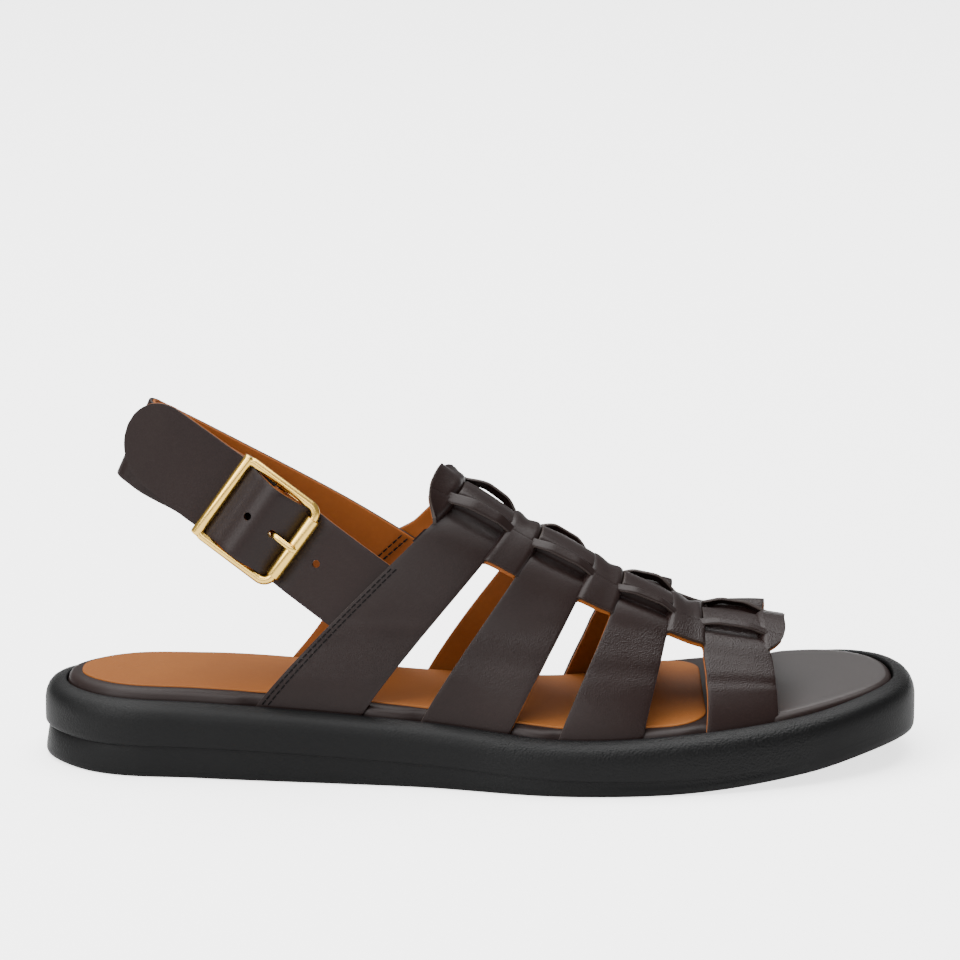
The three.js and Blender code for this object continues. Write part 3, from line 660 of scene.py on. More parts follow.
FOOTBED_ROWS = [(FOOTBED_EDGE[0], 1.0), (FOOTBED_EDGE[0], 0.5)]
FOOTBED_ROWS += [(row, 0.0) for row in FOOTBED_EDGE]
FOOTBED_ROWS += [(FOOTBED_EDGE[-1], t) for t in (0.15, 0.4, 0.7, 1.0)]


def footbed_place(u, v):
    row, t = row_at(FOOTBED_ROWS, v)
    side, at = ring_place(u)
    press = STRAP_PRESS * strap_press(side, LENGTH * at) * (1 - t)
    x, y = toward_middle(side, at, row["inset"] + press, t)
    front = step(x / LENGTH, *TOE_SPAN)
    height = level("bed", x / LENGTH) - SOCK_THICKNESS + TOE_RISE * front
    return placed(x, y, height - row["drop"] * (1 - TOE_FLATTER * front))


board_rows = len(FOOTBED_ROWS) - 1
footbed = wrapped("footbed_board", RING_SQUARES, board_rows, footbed_place, "footbed_leather")
finish_piece(footbed, "brown_leather", "footbed")

# %% Sock
SOCK_INSET = 11.4
SOCK_FRONT = 0.756
SOCK_CORNER = 12.0
SIDE_SHARE = 0.8
CORNER_SHARE = 0.95
SHARE_DIGITS = 6
SOCK_ROWS = table(
    "inset drop t",
    [
        (0.0, 0.6, 1.0),
        (0.0, 0.6, 0.5),
        (0.0, 0.6, 0.0),
        (0.0, 0.3, 0.0),
        (0.12, 0.12, 0.0),
        (0.35, 0.03, 0.0),
        (0.9, 0.0, 0.0),
        (0.9, 0.0, 0.2),
        (0.9, 0.0, 0.45),
        (0.9, 0.0, 0.72),
        (0.9, 0.0, 1.0),
    ],
)


def sock_edge(side, share, inset):
    front = LENGTH * SOCK_FRONT - inset + SOCK_INSET
    straight = front - SOCK_CORNER
    if share < SIDE_SHARE:
        along = 1 - math.cos(math.pi / 2 * share / SIDE_SHARE)
        return outline_point(side, along * straight / LENGTH, inset)
    if share < CORNER_SHARE:
        turn = math.pi / 2 * (share - SIDE_SHARE) / (CORNER_SHARE - SIDE_SHARE)
        x = straight + SOCK_CORNER * math.sin(turn)
        y = outline_point(side, x / LENGTH, inset)[1]
        return x, y - math.copysign(SOCK_CORNER * (1 - math.cos(turn)), y)
    y = outline_point(side, front / LENGTH, inset)[1]
    y -= math.copysign(SOCK_CORNER, y)
    return front, y * (1 - share) / (1 - CORNER_SHARE)


def sock_place(u, v):
    row = row_at(SOCK_ROWS, v)
    inset = SOCK_INSET + row["inset"]
    side, share = ring_share(u)
    share = round(share, SHARE_DIGITS)
    middle = min(share, SIDE_SHARE)
    x, y = sock_edge(side, share, inset)
    near_x, near_y = sock_edge(side, middle, inset)
    far_x, far_y = sock_edge(OTHER_SIDE[side], middle, inset)
    x, y = mix(x, (near_x + far_x) / 2, row["t"]), mix(y, (near_y + far_y) / 2, row["t"])
    return placed(x, y, level("bed", x / LENGTH) - row["drop"])


sock = wrapped("tan_sock", RING_SQUARES, len(SOCK_ROWS) - 1, sock_place, "sock_leather")
finish_piece(sock, "tan_leather", "insole_sock")

# %% [markdown]
# ## The last
# The woven upper has no form of its own: it takes the shape of the last. Each section of the last
# is an arch from the sole over the ridge of the foot and down again. The table above holds the
# arches along the strap edges, and the functions below give the surface between them and its
# outward direction.

# %% Last surface
STRAP_INSET = 8.9
STRAP_SINK = 5.0
LEAN = 1.15
LANE_EDGE = 15.8
MEDIAL_REACH = 0.62
AT_NUDGE = 0.01
SECTION_NUDGE = 0.01
ANGLE_NUDGE = 0.009


def last_half(section, sign):
    side = "lateral" if sign < 0 else "medial"
    at = strap_base(section, side) / LENGTH
    slope = (half_width(side, at + AT_NUDGE) - half_width(side, at - AT_NUDGE)) / (2 * AT_NUDGE * LENGTH)
    inset = STRAP_INSET * math.hypot(1, slope)
    return half_width(side, at) - inset - sign * lookup(SECTIONS, "middle", section)


def last_point(section, angle):
    sign = (angle > 0) - (angle < 0)
    power = 2 / lookup(SECTIONS, "round", section)
    rise = abs(math.cos(angle)) ** power
    spread = abs(math.sin(angle)) ** power
    base = lookup(SECTIONS, "base", section)
    foot_x = strap_base(section, "medial" if sign > 0 else "lateral")
    foot = level("rim", foot_x / LENGTH) - STRAP_SINK
    ridge = lookup(SECTIONS, "ridge", section)
    return Vector(
        (
            base + (ridge - base) * rise**LEAN + spread * (foot_x - base),
            lookup(SECTIONS, "middle", section) + sign * spread * last_half(section, sign),
            foot + (lookup(SECTIONS, "height", section) - foot) * rise,
        )
    )


def last_angle(section, across):
    sign = (across > 0) - (across < 0)
    if sign == 0:
        return 0.0
    power = lookup(SECTIONS, "round", section) / 2
    half = last_half(section, sign)
    room = min(1.0, MEDIAL_REACH * half / LANE_EDGE) if sign > 0 else 1.0
    reach = abs(across) * lookup(SECTIONS, "spread", section) * room
    return sign * math.asin(min((reach / half) ** power, 1.0))


def last_normal(section, angle):
    along = last_point(section + SECTION_NUDGE, angle) - last_point(section - SECTION_NUDGE, angle)
    round_it = last_point(section, angle + ANGLE_NUDGE) - last_point(section, angle - ANGLE_NUDGE)
    return along.cross(round_it).normalized()


def on_last(section, angle, height):
    point = last_point(section, angle) + last_normal(section, angle) * height
    return placed(point.x, point.y, point.z)


print("ridge of the first strap:", [round(c, 4) for c in on_last(0.5, 0.0, 0.0)])

# %% [markdown]
# ## Woven straps
# Each cross strap climbs from the sole, lies on the outer lane of the centre band, dips under a
# narrow rib of the band, comes up on the middle lane, dips under the second rib and goes down the
# other side. A strap is two leathers glued together, brown outside and tan inside, so two thin
# sheets are laid on the last, one on the other: the cut edges then show both colours, as on the
# real strap. The first table gives the strap's height over the last, crossing by crossing, and the
# next ones the humps, bulges and soft creases of each strap. A crease is a shallow
# trough with a low ridge beside it, where the strap bends up from the sole.

# %% Weave
TOP_LEATHER = 1.15
LINING = 0.85
WALL = TOP_LEATHER + LINING
RIB_MIDDLE = 8.6
BASE_ANGLE = math.radians(89)
WOVEN_REACH = 18.6
WOVEN_SHARE = 0.46
FREE_REACH = 40
WEAVE = table(
    "at first second third fourth",
    [
        (-WOVEN_REACH, 0.0, 0.0, 0.0, 0.0),
        (-15.0, 0.1, 0.3, 0.4, 0.5),
        (-13.0, -0.5, 0.2, 0.3, 0.5),
        (-11.5, -1.5, -0.4, -0.3, 0.1),
        (-10.2, -2.3, -1.3, -1.2, -0.7),
        (-8.9, -2.5, -1.6, -1.5, -1.1),
        (-7.7, -0.8, 0.2, 0.1, -0.2),
        (-6.9, 0.6, 1.3, 1.1, 0.6),
        (-5.0, 0.6, 1.3, 1.1, 0.6),
        (-2.0, 0.4, 1.1, 0.9, 0.3),
        (2.0, 0.2, 0.7, 0.4, -0.3),
        (5.0, -0.3, 0.0, -0.3, -0.8),
        (7.0, -0.9, -0.6, -0.8, -1.0),
        (8.6, -1.4, -0.6, -0.6, -0.8),
        (10.6, -0.6, 1.2, 1.4, 1.2),
        (13.2, 0.4, 1.7, 1.7, 1.7),
        (15.8, 0.6, 1.3, 1.5, 1.5),
        (20.0, 0.4, 0.6, 0.7, 0.7),
        (28.0, 0.0, 0.0, 0.0, 0.0),
    ],
)
FORMS = table(
    "crossing hump_rear hump_front hump_fall pillow bulge_rear bulge_front flare",
    [
        ("first", 0.0, 0.0, 1.0, 0.0, 0.0, 0.0, 1.0),
        ("second", 4.4, 0.2, 0.6, 2.2, 0.0, 0.0, 0.0),
        ("third", 5.0, 4.4, 1.0, 1.7, 0.0, 0.0, 0.0),
        ("fourth", 1.0, 3.8, 1.0, 0.9, 1.1, 1.8, 0.0),
    ],
)
CREASES = table(
    "v slant half depth",
    [
        (0.11, 0.02, 0.028, 0.24),
        (0.14, 0.024, 0.028, 0.22),
        (0.18, 0.02, 0.026, 0.2),
        (0.2, 0.012, 0.022, 0.24),
    ],
)
RIDGE_AWAY = 1.3
RIDGE_SHARE = 0.5
HUMP_PLACE = (12.6, 4.4)
PILLOW_PLACE = (7.0, 6.0)
CROWN = 0.25
BULGE_FADE = (9, 18)
FLARE_TOP = 4
FLARE_MORE = 3
FLARE_GROWTH = (0, 0.15)
FLARE_START = (8, 14)
FLARE_END = (0.35, 0.9)
FLARE_FALL = 1.5


def bump(value, middle, half):
    return (1 + math.cos(math.pi * min(max((value - middle) / half, -1.0), 1.0))) / 2


def strap_lift(strap, across, u):
    form = FORMS[strap]
    hump = mix(form["hump_rear"], form["hump_front"], u ** form["hump_fall"]) * bump(across, *HUMP_PLACE)
    crown = CROWN * abs(2 * u - 1) ** 3
    pillow = form["pillow"] * math.sin(math.pi * u) * bump(across, *PILLOW_PLACE)
    return lookup(WEAVE, form["crossing"], across) + hump + pillow - crown


def crease_dip(strap, u, v):
    crease = CREASES[strap]
    trough = crease["v"] + crease["slant"] * (u - 0.5)
    ridge = trough + RIDGE_AWAY * crease["half"]
    dip = bump(v, trough, crease["half"]) - RIDGE_SHARE * bump(v, ridge, crease["half"])
    return crease["depth"] * dip


def strap_angle(section, v):
    sign = -1 if v < 0.5 else 1
    share = abs(v - 0.5) * 2
    if share <= WOVEN_SHARE:
        across = sign * WOVEN_REACH * share / WOVEN_SHARE
        return last_angle(section, across), across
    start = abs(last_angle(section, WOVEN_REACH * sign))
    t = (share - WOVEN_SHARE) / (1 - WOVEN_SHARE)
    return sign * mix(start, BASE_ANGLE, t), sign * (WOVEN_REACH + FREE_REACH * t)


def free_share(share):
    return max(share - WOVEN_SHARE, 0.0) / (1 - WOVEN_SHARE)


def rear_flare(across, inner, u):
    size = FLARE_TOP + FLARE_MORE * step(inner, *FLARE_GROWTH)
    return size * step(across, *FLARE_START) * (1 - step(inner, *FLARE_END)) * (1 - u) ** FLARE_FALL


def strap_sheet(strap, height):
    form = FORMS[strap]

    def place(u, v):
        section = 2 * strap + u
        angle, across = strap_angle(section, v)
        lift = strap_lift(strap, across, u) - crease_dip(strap, u, v)
        point = on_last(section, angle, height + lift)
        outer = free_share(1 - 2 * v)
        rear = form["bulge_rear"] * math.sin(math.pi * outer)
        front = form["bulge_front"] * step(-across, *BULGE_FADE) * (1 - outer**2)
        back = form["flare"] * rear_flare(across, free_share(2 * v - 1), u)
        return point + Vector(((mix(rear, front, u) - back) * MM, 0, 0))

    return place


# %% Straps
GLUE_GAP = 0.03
LINING_ROUNDING = 0.7
STRAP_SQUARES = (14, 200)
STRAP_ROUNDING = 0.45


def two_leathers(name, squares, sheet, top, lining, rounding):
    outer = laid_grid(name, *squares, sheet(top + lining))
    # The outer sheet's cut rim gets the lighter edge finish, partly raw leather and partly a painted
    # highlight.
    paint(outer, "brown_leather", "cut_edge")
    thicken(outer, top - GLUE_GAP, rounding)
    inner = laid_grid(name + "_lining", *squares, sheet(lining))
    paint(inner, "tan_leather")
    thicken(inner, lining, rounding * LINING_ROUNDING)
    return join([outer, inner], name)


for strap in STRAPS:
    name = f"cross_strap_{strap + 1}"
    sheet = partial(strap_sheet, strap)
    piece = two_leathers(name, STRAP_SQUARES, sheet, TOP_LEATHER, LINING, STRAP_ROUNDING)
    soften(piece, LEATHER_ANGLE)
    finish_piece(piece, "brown_leather", "upper")

# %% [markdown]
# ## Centre band
# The band is cut into lanes. Two narrow ribs arch over every strap, and the wide lanes dive under
# it and come up again between the straps. Each lane is a strip on the last with its own path of
# heights; the tabs at both ends share one rounded outline.

# %% Band lanes
BAND_REAR = -0.46
BAND_FRONT = 7.36
FRONT_EDGE = 7.0
TAB_ROUND = 0.8
FRONT_ROUND = 0.45
TAB_POWER = 3.4
TAB_CURL = 1.6
REAR_SLANT = 0.2
RIB_TOP = {"lateral": (3.7, 3.6, 3.5, 3.5), "medial": (4.5, 6.6, 5.3, 3.8)}
RIB_RISE = {"lateral": (-0.12, 0.32), "medial": (-0.12, 0.36)}
RIB_TILT = {"lateral": 0.0, "medial": -0.6}
RIB_REST = 1.78
RIB_THICK = 1.0
LANE_REST = -0.1
LANE_SAG = 1.0
TAB_VALLEY = 1.3
BAND_TOP = 1.1
BAND_LINING = 0.8
BAND_WALL = BAND_TOP + BAND_LINING
SLIT_WINDOW = (-0.03, 0.08)
LANE_WINDOW = (-0.04, 0.04)
MIDDLE_REAR = (-0.11, -0.01)
MIDDLE_FRONT = (-0.03, 0.07)
LANE_GAP = 0.1
SAG_SPAN = (-9, 8)
TAB_RIDGE = 0.5
TAB_WAVE = 3
TAB_WAVE_HALF = 4
LINING_TUCK = 1.0
LINING_OVER = 0.3
LANES = table(
    "name start end start_open end_open",
    [
        ("outer_lateral", -LANE_EDGE, -8.62, -LANE_EDGE, -9.85),
        ("middle", -8.58, 8.58, -7.35, 7.65),
        ("outer_medial", 8.62, LANE_EDGE, 9.55, LANE_EDGE),
    ],
)
RIBS = table("name start end", [("lateral", -9.75, -7.45), ("medial", 7.75, 9.45)])


def slit_open(section):
    shares = []
    for strap in STRAPS:
        u = section - 2 * strap
        shares.append(step(u, *SLIT_WINDOW) * step(1 - u, *SLIT_WINDOW))
    return max(shares)


def lane_lift(section, across):
    lift = LANE_REST
    if 1 < section < 6:
        between = math.sin(math.pi * (section % 2)) ** 2 if section % 2 > 1 else 0.0
        lift -= LANE_SAG * between * step(across, *SAG_SPAN)
    for strap in STRAPS:
        u = section - 2 * strap
        share = step(u, *LANE_WINDOW) * step(1 - u, *LANE_WINDOW)
        if abs(across) < RIB_MIDDLE:
            share = step(u, *MIDDLE_REAR) * step(1 - u, *MIDDLE_FRONT)
        if share > 0:
            under = strap_lift(strap, across, clamp(u)) - BAND_WALL - LANE_GAP
            lift = mix(lift, min(under, LANE_REST), share)
    return lift


def rib_top(section, side):
    top = RIB_REST
    low, high = RIB_RISE[side]
    for strap in STRAPS:
        u = section - 2 * strap
        rise = step(u, low, high) * step(1 - u, low, high)
        top += (RIB_TOP[side][strap] - RIB_REST) * rise
    return top


def tab_section(across, v):
    middle = mix(BAND_REAR, BAND_FRONT, v)
    rear = clamp(middle / BAND_REAR)
    front = clamp((middle - FRONT_EDGE) / (BAND_FRONT - FRONT_EDGE))
    tab = (abs(across) / LANE_EDGE) ** TAB_POWER
    slant = REAR_SLANT * (1 + across / LANE_EDGE) / 2
    curl = TAB_CURL + TAB_RIDGE * bump(across, -TAB_WAVE, TAB_WAVE_HALF)
    curl -= TAB_VALLEY * bump(across, TAB_WAVE, TAB_WAVE_HALF)
    return middle + (TAB_ROUND * tab + slant) * rear - FRONT_ROUND * tab * front, curl * rear**2


def lane_sheet(lane, height):
    tuck = LINING_TUCK if height < BAND_WALL else 0.0

    def place(u, v):
        opened = slit_open(mix(BAND_REAR, BAND_FRONT, v))
        start = mix(lane["start"], lane["start_open"], opened)
        end = mix(lane["end"], lane["end_open"], opened)
        start += tuck if start > -LANE_EDGE else -LINING_OVER * tuck
        end -= tuck if end < LANE_EDGE else -LINING_OVER * tuck
        across = mix(start, end, u)
        section, curl = tab_section(across, v)
        return on_last(section, last_angle(section, across), height + curl + lane_lift(section, across))

    return place


def rib_sheet(rib):
    def place(u, v):
        across = mix(rib["start"], rib["end"], u)
        section, curl = tab_section(across, v)
        tilt = RIB_TILT[rib["name"]] * (abs(across) - RIB_MIDDLE)
        return on_last(section, last_angle(section, across), curl + tilt + rib_top(section, rib["name"]))

    return place


# %% Band
LANE_SQUARES = (10, 240)
LANE_ROUNDING = 0.35
RIB_SQUARES = (4, 240)
RIB_ROUNDING = 0.42
lanes = []
for lane in LANES:
    name = "lane_" + lane["name"]
    sheet = partial(lane_sheet, lane)
    lanes.append(two_leathers(name, LANE_SQUARES, sheet, BAND_TOP, BAND_LINING, LANE_ROUNDING))
for rib in RIBS:
    strip = laid_grid("rib_" + rib["name"], *RIB_SQUARES, rib_sheet(rib))
    # The rib's cut rim gets the same lighter edge finish, partly raw leather and partly a painted
    # highlight.
    paint(strip, "brown_leather", "cut_edge")
    thicken(strip, RIB_THICK, RIB_ROUNDING)
    lanes.append(strip)
band = join(lanes, "centre_band")
soften(band, LEATHER_ANGLE)
finish_piece(band, "brown_leather", "upper")

# %% [markdown]
# ## Heel strap and buckle strap
# Both straps lie in a slanted plane from the first cross strap up to the back of the heel. The heel
# strap runs from the inner side round the back and ends in a loop on the buckle's middle bar. The
# buckle strap comes from the outer side, passes under the roller, over the middle bar and ends in a
# round tip. Rows along the path give the middle line, the width direction and the half width, and
# the sheet is laid between them.

# %% Hoop plane
HOOP_START = Vector((94.1, 0, 55.6))
HOOP_SLOPE = math.radians(35)
HOOP_HALF = 12.2
HOOP_WAIST = 11.6
HOOP_THICK = 1.8
HOOP_SKIVED = 1.2
HOOP_BACK = {"along": 73.4, "across": 2.2, "radius": 3.2, "lift": -3.2}
HOOP_MEDIAL = {"along": -16.0, "across": 16.4, "lift": 3.8}
MEDIAL_BOW = 1.5
END_TUCK = 1.8
HOOP_TILT = 9.0
HOOP_FAN = 11.0
TILT_END = 18
TILT_SPAN = 28
FAN_START = 50
FAN_SPAN = 24
WAIST_FADE = (6, 10.5)
EDGE_EXTRA = 0.4
SIDE_ANGLE = math.radians(12.7)
BUCKLE = {"along": 34.2, "across": -14.3, "length": 29.0, "width": 30.0, "bar": 1.4, "rise": 1.5}
MIDDLE_BAR = 1.3
GAP = 0.3


def hoop_point(along, across, lift=0.0):
    c, s = math.cos(HOOP_SLOPE), math.sin(HOOP_SLOPE)
    return Vector((HOOP_START.x - along * c + lift * s, across, HOOP_START.z + along * s + lift * c))


def hoop_wide(along, side):
    front = clamp((TILT_END - along) / TILT_SPAN)
    rear = clamp((along - FAN_START) / FAN_SPAN)
    tilt = math.radians(HOOP_TILT / 2 * (1 + front - rear))
    slope = HOOP_SLOPE - math.radians(HOOP_FAN) * rear
    return Vector((math.sin(slope), -side * math.tan(tilt), math.cos(slope))).normalized()


def hoop_place(along, across, lift):
    return {"along": along, "across": across, "lift": lift}


def beside_buckle(along, out):
    c, s = math.cos(SIDE_ANGLE), math.sin(SIDE_ANGLE)
    return hoop_place(BUCKLE["along"] - along * c + out * s, BUCKLE["across"] - along * s - out * c, 0.0)


def hoop_half(along):
    near = 1 - step(abs(along - BUCKLE["along"]), *WAIST_FADE)
    return mix(HOOP_HALF, HOOP_WAIST, near)


def hoop_row(place, side):
    half = HOOP_HALF if side > 0 else hoop_half(place["along"])
    return {
        "point": hoop_point(place["along"], place["across"], place["lift"]),
        "wide": hoop_wide(place["along"], side),
        "half": half + EDGE_EXTRA,
    }


# %% Path helper
PATH_STEPS = 1200
LEAST_STEP = 1e-9


def spline(points, t):
    last = len(points) - 1
    i = min(int(t * last), last - 1)
    f = t * last - i
    a, b, c, d = (points[min(max(k, 0), last)] for k in (i - 1, i, i + 1, i + 2))
    return 0.5 * (
        2 * b + (c - a) * f + (2 * a - 5 * b + 4 * c - d) * f * f + (3 * b - a - 3 * c + d) * f**3
    )


def even_path(rows, count):
    points = [row["point"] for row in rows]
    wides = [row["wide"] for row in rows]
    halves = [Vector((row["half"], 0, 0)) for row in rows]
    fine = [k / PATH_STEPS for k in range(PATH_STEPS + 1)]
    drawn = [spline(points, t) for t in fine]
    lengths = [0.0]
    for a, b in zip(drawn, drawn[1:]):
        lengths.append(lengths[-1] + (b - a).length)
    path = []
    k = 0
    for i in range(count + 1):
        target = lengths[-1] * i / count
        while k < PATH_STEPS - 1 and lengths[k + 1] < target:
            k += 1
        f = (target - lengths[k]) / max(lengths[k + 1] - lengths[k], LEAST_STEP)
        t = mix(fine[k], fine[k + 1], f)
        row = {"point": spline(points, t), "wide": spline(wides, t).normalized(), "at": target}
        row["half"] = spline(halves, t).x
        path.append(row)
    for i, row in enumerate(path):
        ahead = path[min(i + 1, count)]["point"] - path[max(i - 1, 0)]["point"]
        row["out"] = ahead.cross(row["wide"]).normalized()
    return path


def ribbon_sheet(path, height):
    def place(u, v):
        row = row_at(path, v)
        side = 2 * u - 1
        out = row["out"] * (height - HOOP_THICK / 2)
        point = row["point"] + row["wide"] * row["half"] * side + out
        return placed(point.x, point.y, point.z)

    return place


# %% Heel strap
UNDER_STRAP = -1.2
LEG_OUT = UNDER_STRAP - HOOP_THICK - 2 * GAP
LEG_PLACES = (-36, -30, -24, -14, -8)
LEG_FADE = (14, 42)
LOOP = MIDDLE_BAR + 1.5 * GAP + HOOP_SKIVED / 2
LOOP_ENTRY = -4
LOOP_DIP = 0.5
LOOP_START = -90
LOOP_TURN = 24
TURN_STEPS = 10
TUCK_FADE = (0, 0.35)
HEEL_TOP = 1.0
HEEL_SQUARES = (16, 220)
HOOP_ROUNDING = 0.4


def heel_rows():
    rows = []
    for i in range(TURN_STEPS):
        t = i / TURN_STEPS
        along = mix(HOOP_MEDIAL["along"], HOOP_BACK["along"], t)
        across = mix(HOOP_MEDIAL["across"], HOOP_BACK["across"] + HOOP_BACK["radius"], t)
        across -= END_TUCK * (1 - step(t, *TUCK_FADE))
        lift = mix(HOOP_MEDIAL["lift"], HOOP_BACK["lift"], t**MEDIAL_BOW)
        rows.append(hoop_row(hoop_place(along, across, lift), 1))
    for i in range(TURN_STEPS + 1):
        turn = math.pi * i / TURN_STEPS
        along = HOOP_BACK["along"] + HOOP_BACK["radius"] * math.sin(turn)
        across = HOOP_BACK["across"] + HOOP_BACK["radius"] * math.cos(turn)
        rows.append(hoop_row(hoop_place(along, across, HOOP_BACK["lift"]), -1))
    for along in LEG_PLACES:
        place = beside_buckle(along, LEG_OUT)
        place["lift"] = HOOP_BACK["lift"] * step(-along, *LEG_FADE)
        rows.append(hoop_row(place, -1))
    rows.append(hoop_row(beside_buckle(LOOP_ENTRY, -LOOP - LOOP_DIP), -1))
    for i in range(TURN_STEPS + 1):
        turn = math.radians(LOOP_START + LOOP_TURN * i)
        rows.append(hoop_row(beside_buckle(LOOP * math.cos(turn), LOOP * math.sin(turn)), -1))
    return rows


def hoop_strap(name, squares, path):
    return two_leathers(
        name, squares, partial(ribbon_sheet, path), HEEL_TOP, HOOP_THICK - HEEL_TOP, HOOP_ROUNDING
    )


heel_path = even_path(heel_rows(), HEEL_SQUARES[1])
heel_strap = hoop_strap("heel_strap_leather", HEEL_SQUARES, heel_path)
soften(heel_strap, LEATHER_ANGLE)
finish_piece(heel_strap, "brown_leather", "heel_strap")

# %% Buckle strap
BUCKLE_ROUTE = table(
    "along out",
    [
        (-49.0, -1.2),
        (-34.0, -1.2),
        (-20.0, -1.2),
        (-12.7, -1.3),
        (-6.5, 1.6),
        (-2.6, 3.8),
        (0.0, 4.5),
        (2.6, 3.8),
        (6.2, 1.8),
        (12.7, -2.4),
        (20.0, -2.0),
        (33.0, -1.8),
        (45.0, -2.2),
    ],
)
TIP_LENGTH = 12.2
TIP_LEAST = 0.02
ROUTE_STEPS = 80
STRAP_GRID = (16, 230)


def buckle_rows():
    route = [Vector((r["along"], r["out"], 0)) for r in BUCKLE_ROUTE]
    spots = [spline(route, k / ROUTE_STEPS) for k in range(ROUTE_STEPS + 1)]
    return [hoop_row(beside_buckle(spot.x, spot.y), -1) for spot in spots]


strap_path = even_path(buckle_rows(), STRAP_GRID[1])
for row in strap_path:
    left = max(1 - row["at"] / TIP_LENGTH, 0.0)
    row["half"] *= max(math.sqrt(max(1 - left * left, 0.0)), TIP_LEAST)
buckle_strap = hoop_strap("buckle_strap_leather", STRAP_GRID, strap_path)
print("buckle strap is", round(strap_path[-1]["at"], 1), "mm long")


# %% Punched holes
def buckle_axes():
    middle = beside_buckle(0, 0)
    ahead = beside_buckle(1, 0)
    start = hoop_point(middle["along"], middle["across"])
    along = (hoop_point(ahead["along"], ahead["across"]) - start).normalized()
    out = along.cross(hoop_wide(BUCKLE["along"], -1)).normalized()
    across = out.cross(along)
    turn = Matrix((along, across, out)).transposed().to_4x4()
    start = placed(start.x, start.y, start.z)
    return Matrix.Translation(start) @ turn


AXES = buckle_axes()
HOLES = (-3.0, 5.8, 13.7, 21.3)
HOLE_RADIUS = 1.2
HOLE_SIDES = 24
PUNCH_LENGTH = 16


def punch(piece, along):
    bpy.ops.object.select_all(action="DESELECT")
    bpy.ops.mesh.primitive_cylinder_add(
        vertices=HOLE_SIDES, radius=HOLE_RADIUS * MM, depth=PUNCH_LENGTH * MM
    )
    tool = bpy.context.object
    tool.matrix_world = AXES @ Matrix.Translation(Vector((along, 0, 0)) * MM)
    bpy.ops.object.transform_apply(location=True, rotation=True, scale=True)
    cut = piece.modifiers.new("hole", "BOOLEAN")
    cut.object = tool
    cut.operation = "DIFFERENCE"
    cut.solver = "EXACT"
    apply_modifiers(piece)
    bpy.data.objects.remove(tool)


for along in HOLES:
    punch(buckle_strap, along)
soften(buckle_strap, LEATHER_ANGLE)
finish_piece(buckle_strap, "brown_leather", "buckle_strap")

# %% [markdown]
# ## Buckle
# The buckle is bent from round bar and plated. A curve with a round bevel is the natural way to
# bend a bar: it is drawn in the buckle's own axes, turned into a mesh and then moved to its place.
# The roller is a tube on the front bar, and the prong is a flat finger that tapers to its tip on
# the roller.

# %% Bar helper
BAR_ROUNDNESS = 6


def bent_bar(name, points, radius, closed=False, taper=()):
    curve = bpy.data.curves.new(name, "CURVE")
    curve.dimensions = "3D"
    curve.bevel_depth = radius * MM
    curve.bevel_resolution = BAR_ROUNDNESS
    curve.use_fill_caps = True
    line = curve.splines.new("POLY")
    line.points.add(len(points) - 1)
    for target, point in zip(line.points, points):
        target.co = (*(Vector(point) * MM), 1)
    for target, share in zip(line.points, taper):
        target.radius = share
    line.use_cyclic_u = closed
    piece = bpy.data.objects.new(name, curve)
    bpy.context.scene.collection.objects.link(piece)
    pick(piece)
    bpy.ops.object.convert(target="MESH")
    piece = bpy.context.object
    piece.data.transform(AXES)
    return piece


# %% Buckle frame
REAR_BAR = 1.75
CORNER_FRONT = 3.2
CORNER_REAR = 2.2
CORNER_STEPS = 8
FRAME_X = BUCKLE["length"] / 2 - BUCKLE["bar"]
FRAME_Y = BUCKLE["width"] / 2 - BUCKLE["bar"]
MIDDLE_ENDS = ((0.0, BUCKLE["rise"]), (0.6, 0.5), (2.0, 0.0))
REAR_TAPER = table(
    "share radius",
    [(-1.06, 0.7), (-1.05, 0.9), (-1.01, 1.0), (1.01, 1.0), (1.05, 0.9), (1.06, 0.7)],
)


def frame_outline():
    corners = [(FRAME_X, FRAME_Y, CORNER_FRONT, 0), (-FRAME_X, FRAME_Y, CORNER_REAR, 90)]
    corners += [(-FRAME_X, -FRAME_Y, CORNER_REAR, 180), (FRAME_X, -FRAME_Y, CORNER_FRONT, 270)]
    points = []
    for cx, cy, radius, start in corners:
        for k in range(CORNER_STEPS + 1):
            turn = math.radians(start + 90 * k / CORNER_STEPS)
            mx = cx - math.copysign(radius, cx)
            my = cy - math.copysign(radius, cy)
            points.append((mx + radius * math.cos(turn), my + radius * math.sin(turn), BUCKLE["rise"]))
    return points


frame_bar = bent_bar("frame_bar", frame_outline(), BUCKLE["bar"], closed=True)
middle_points = [(0, inward - FRAME_Y, z) for inward, z in MIDDLE_ENDS]
middle_points += [(x, -y, z) for x, y, z in reversed(middle_points)]
middle_bar = bent_bar("middle_bar", middle_points, MIDDLE_BAR)
rear_points = [(-FRAME_X, FRAME_Y * row["share"], BUCKLE["rise"]) for row in REAR_TAPER]
rear_bar = bent_bar("rear_bar", rear_points, REAR_BAR, taper=[row["radius"] for row in REAR_TAPER])
buckle = join([frame_bar, middle_bar, rear_bar], "buckle_bars")
soften(buckle, ROUND_ANGLE)
paint(buckle, "buckle_gold")
finish_piece(buckle, "buckle_brass", "buckle_frame")

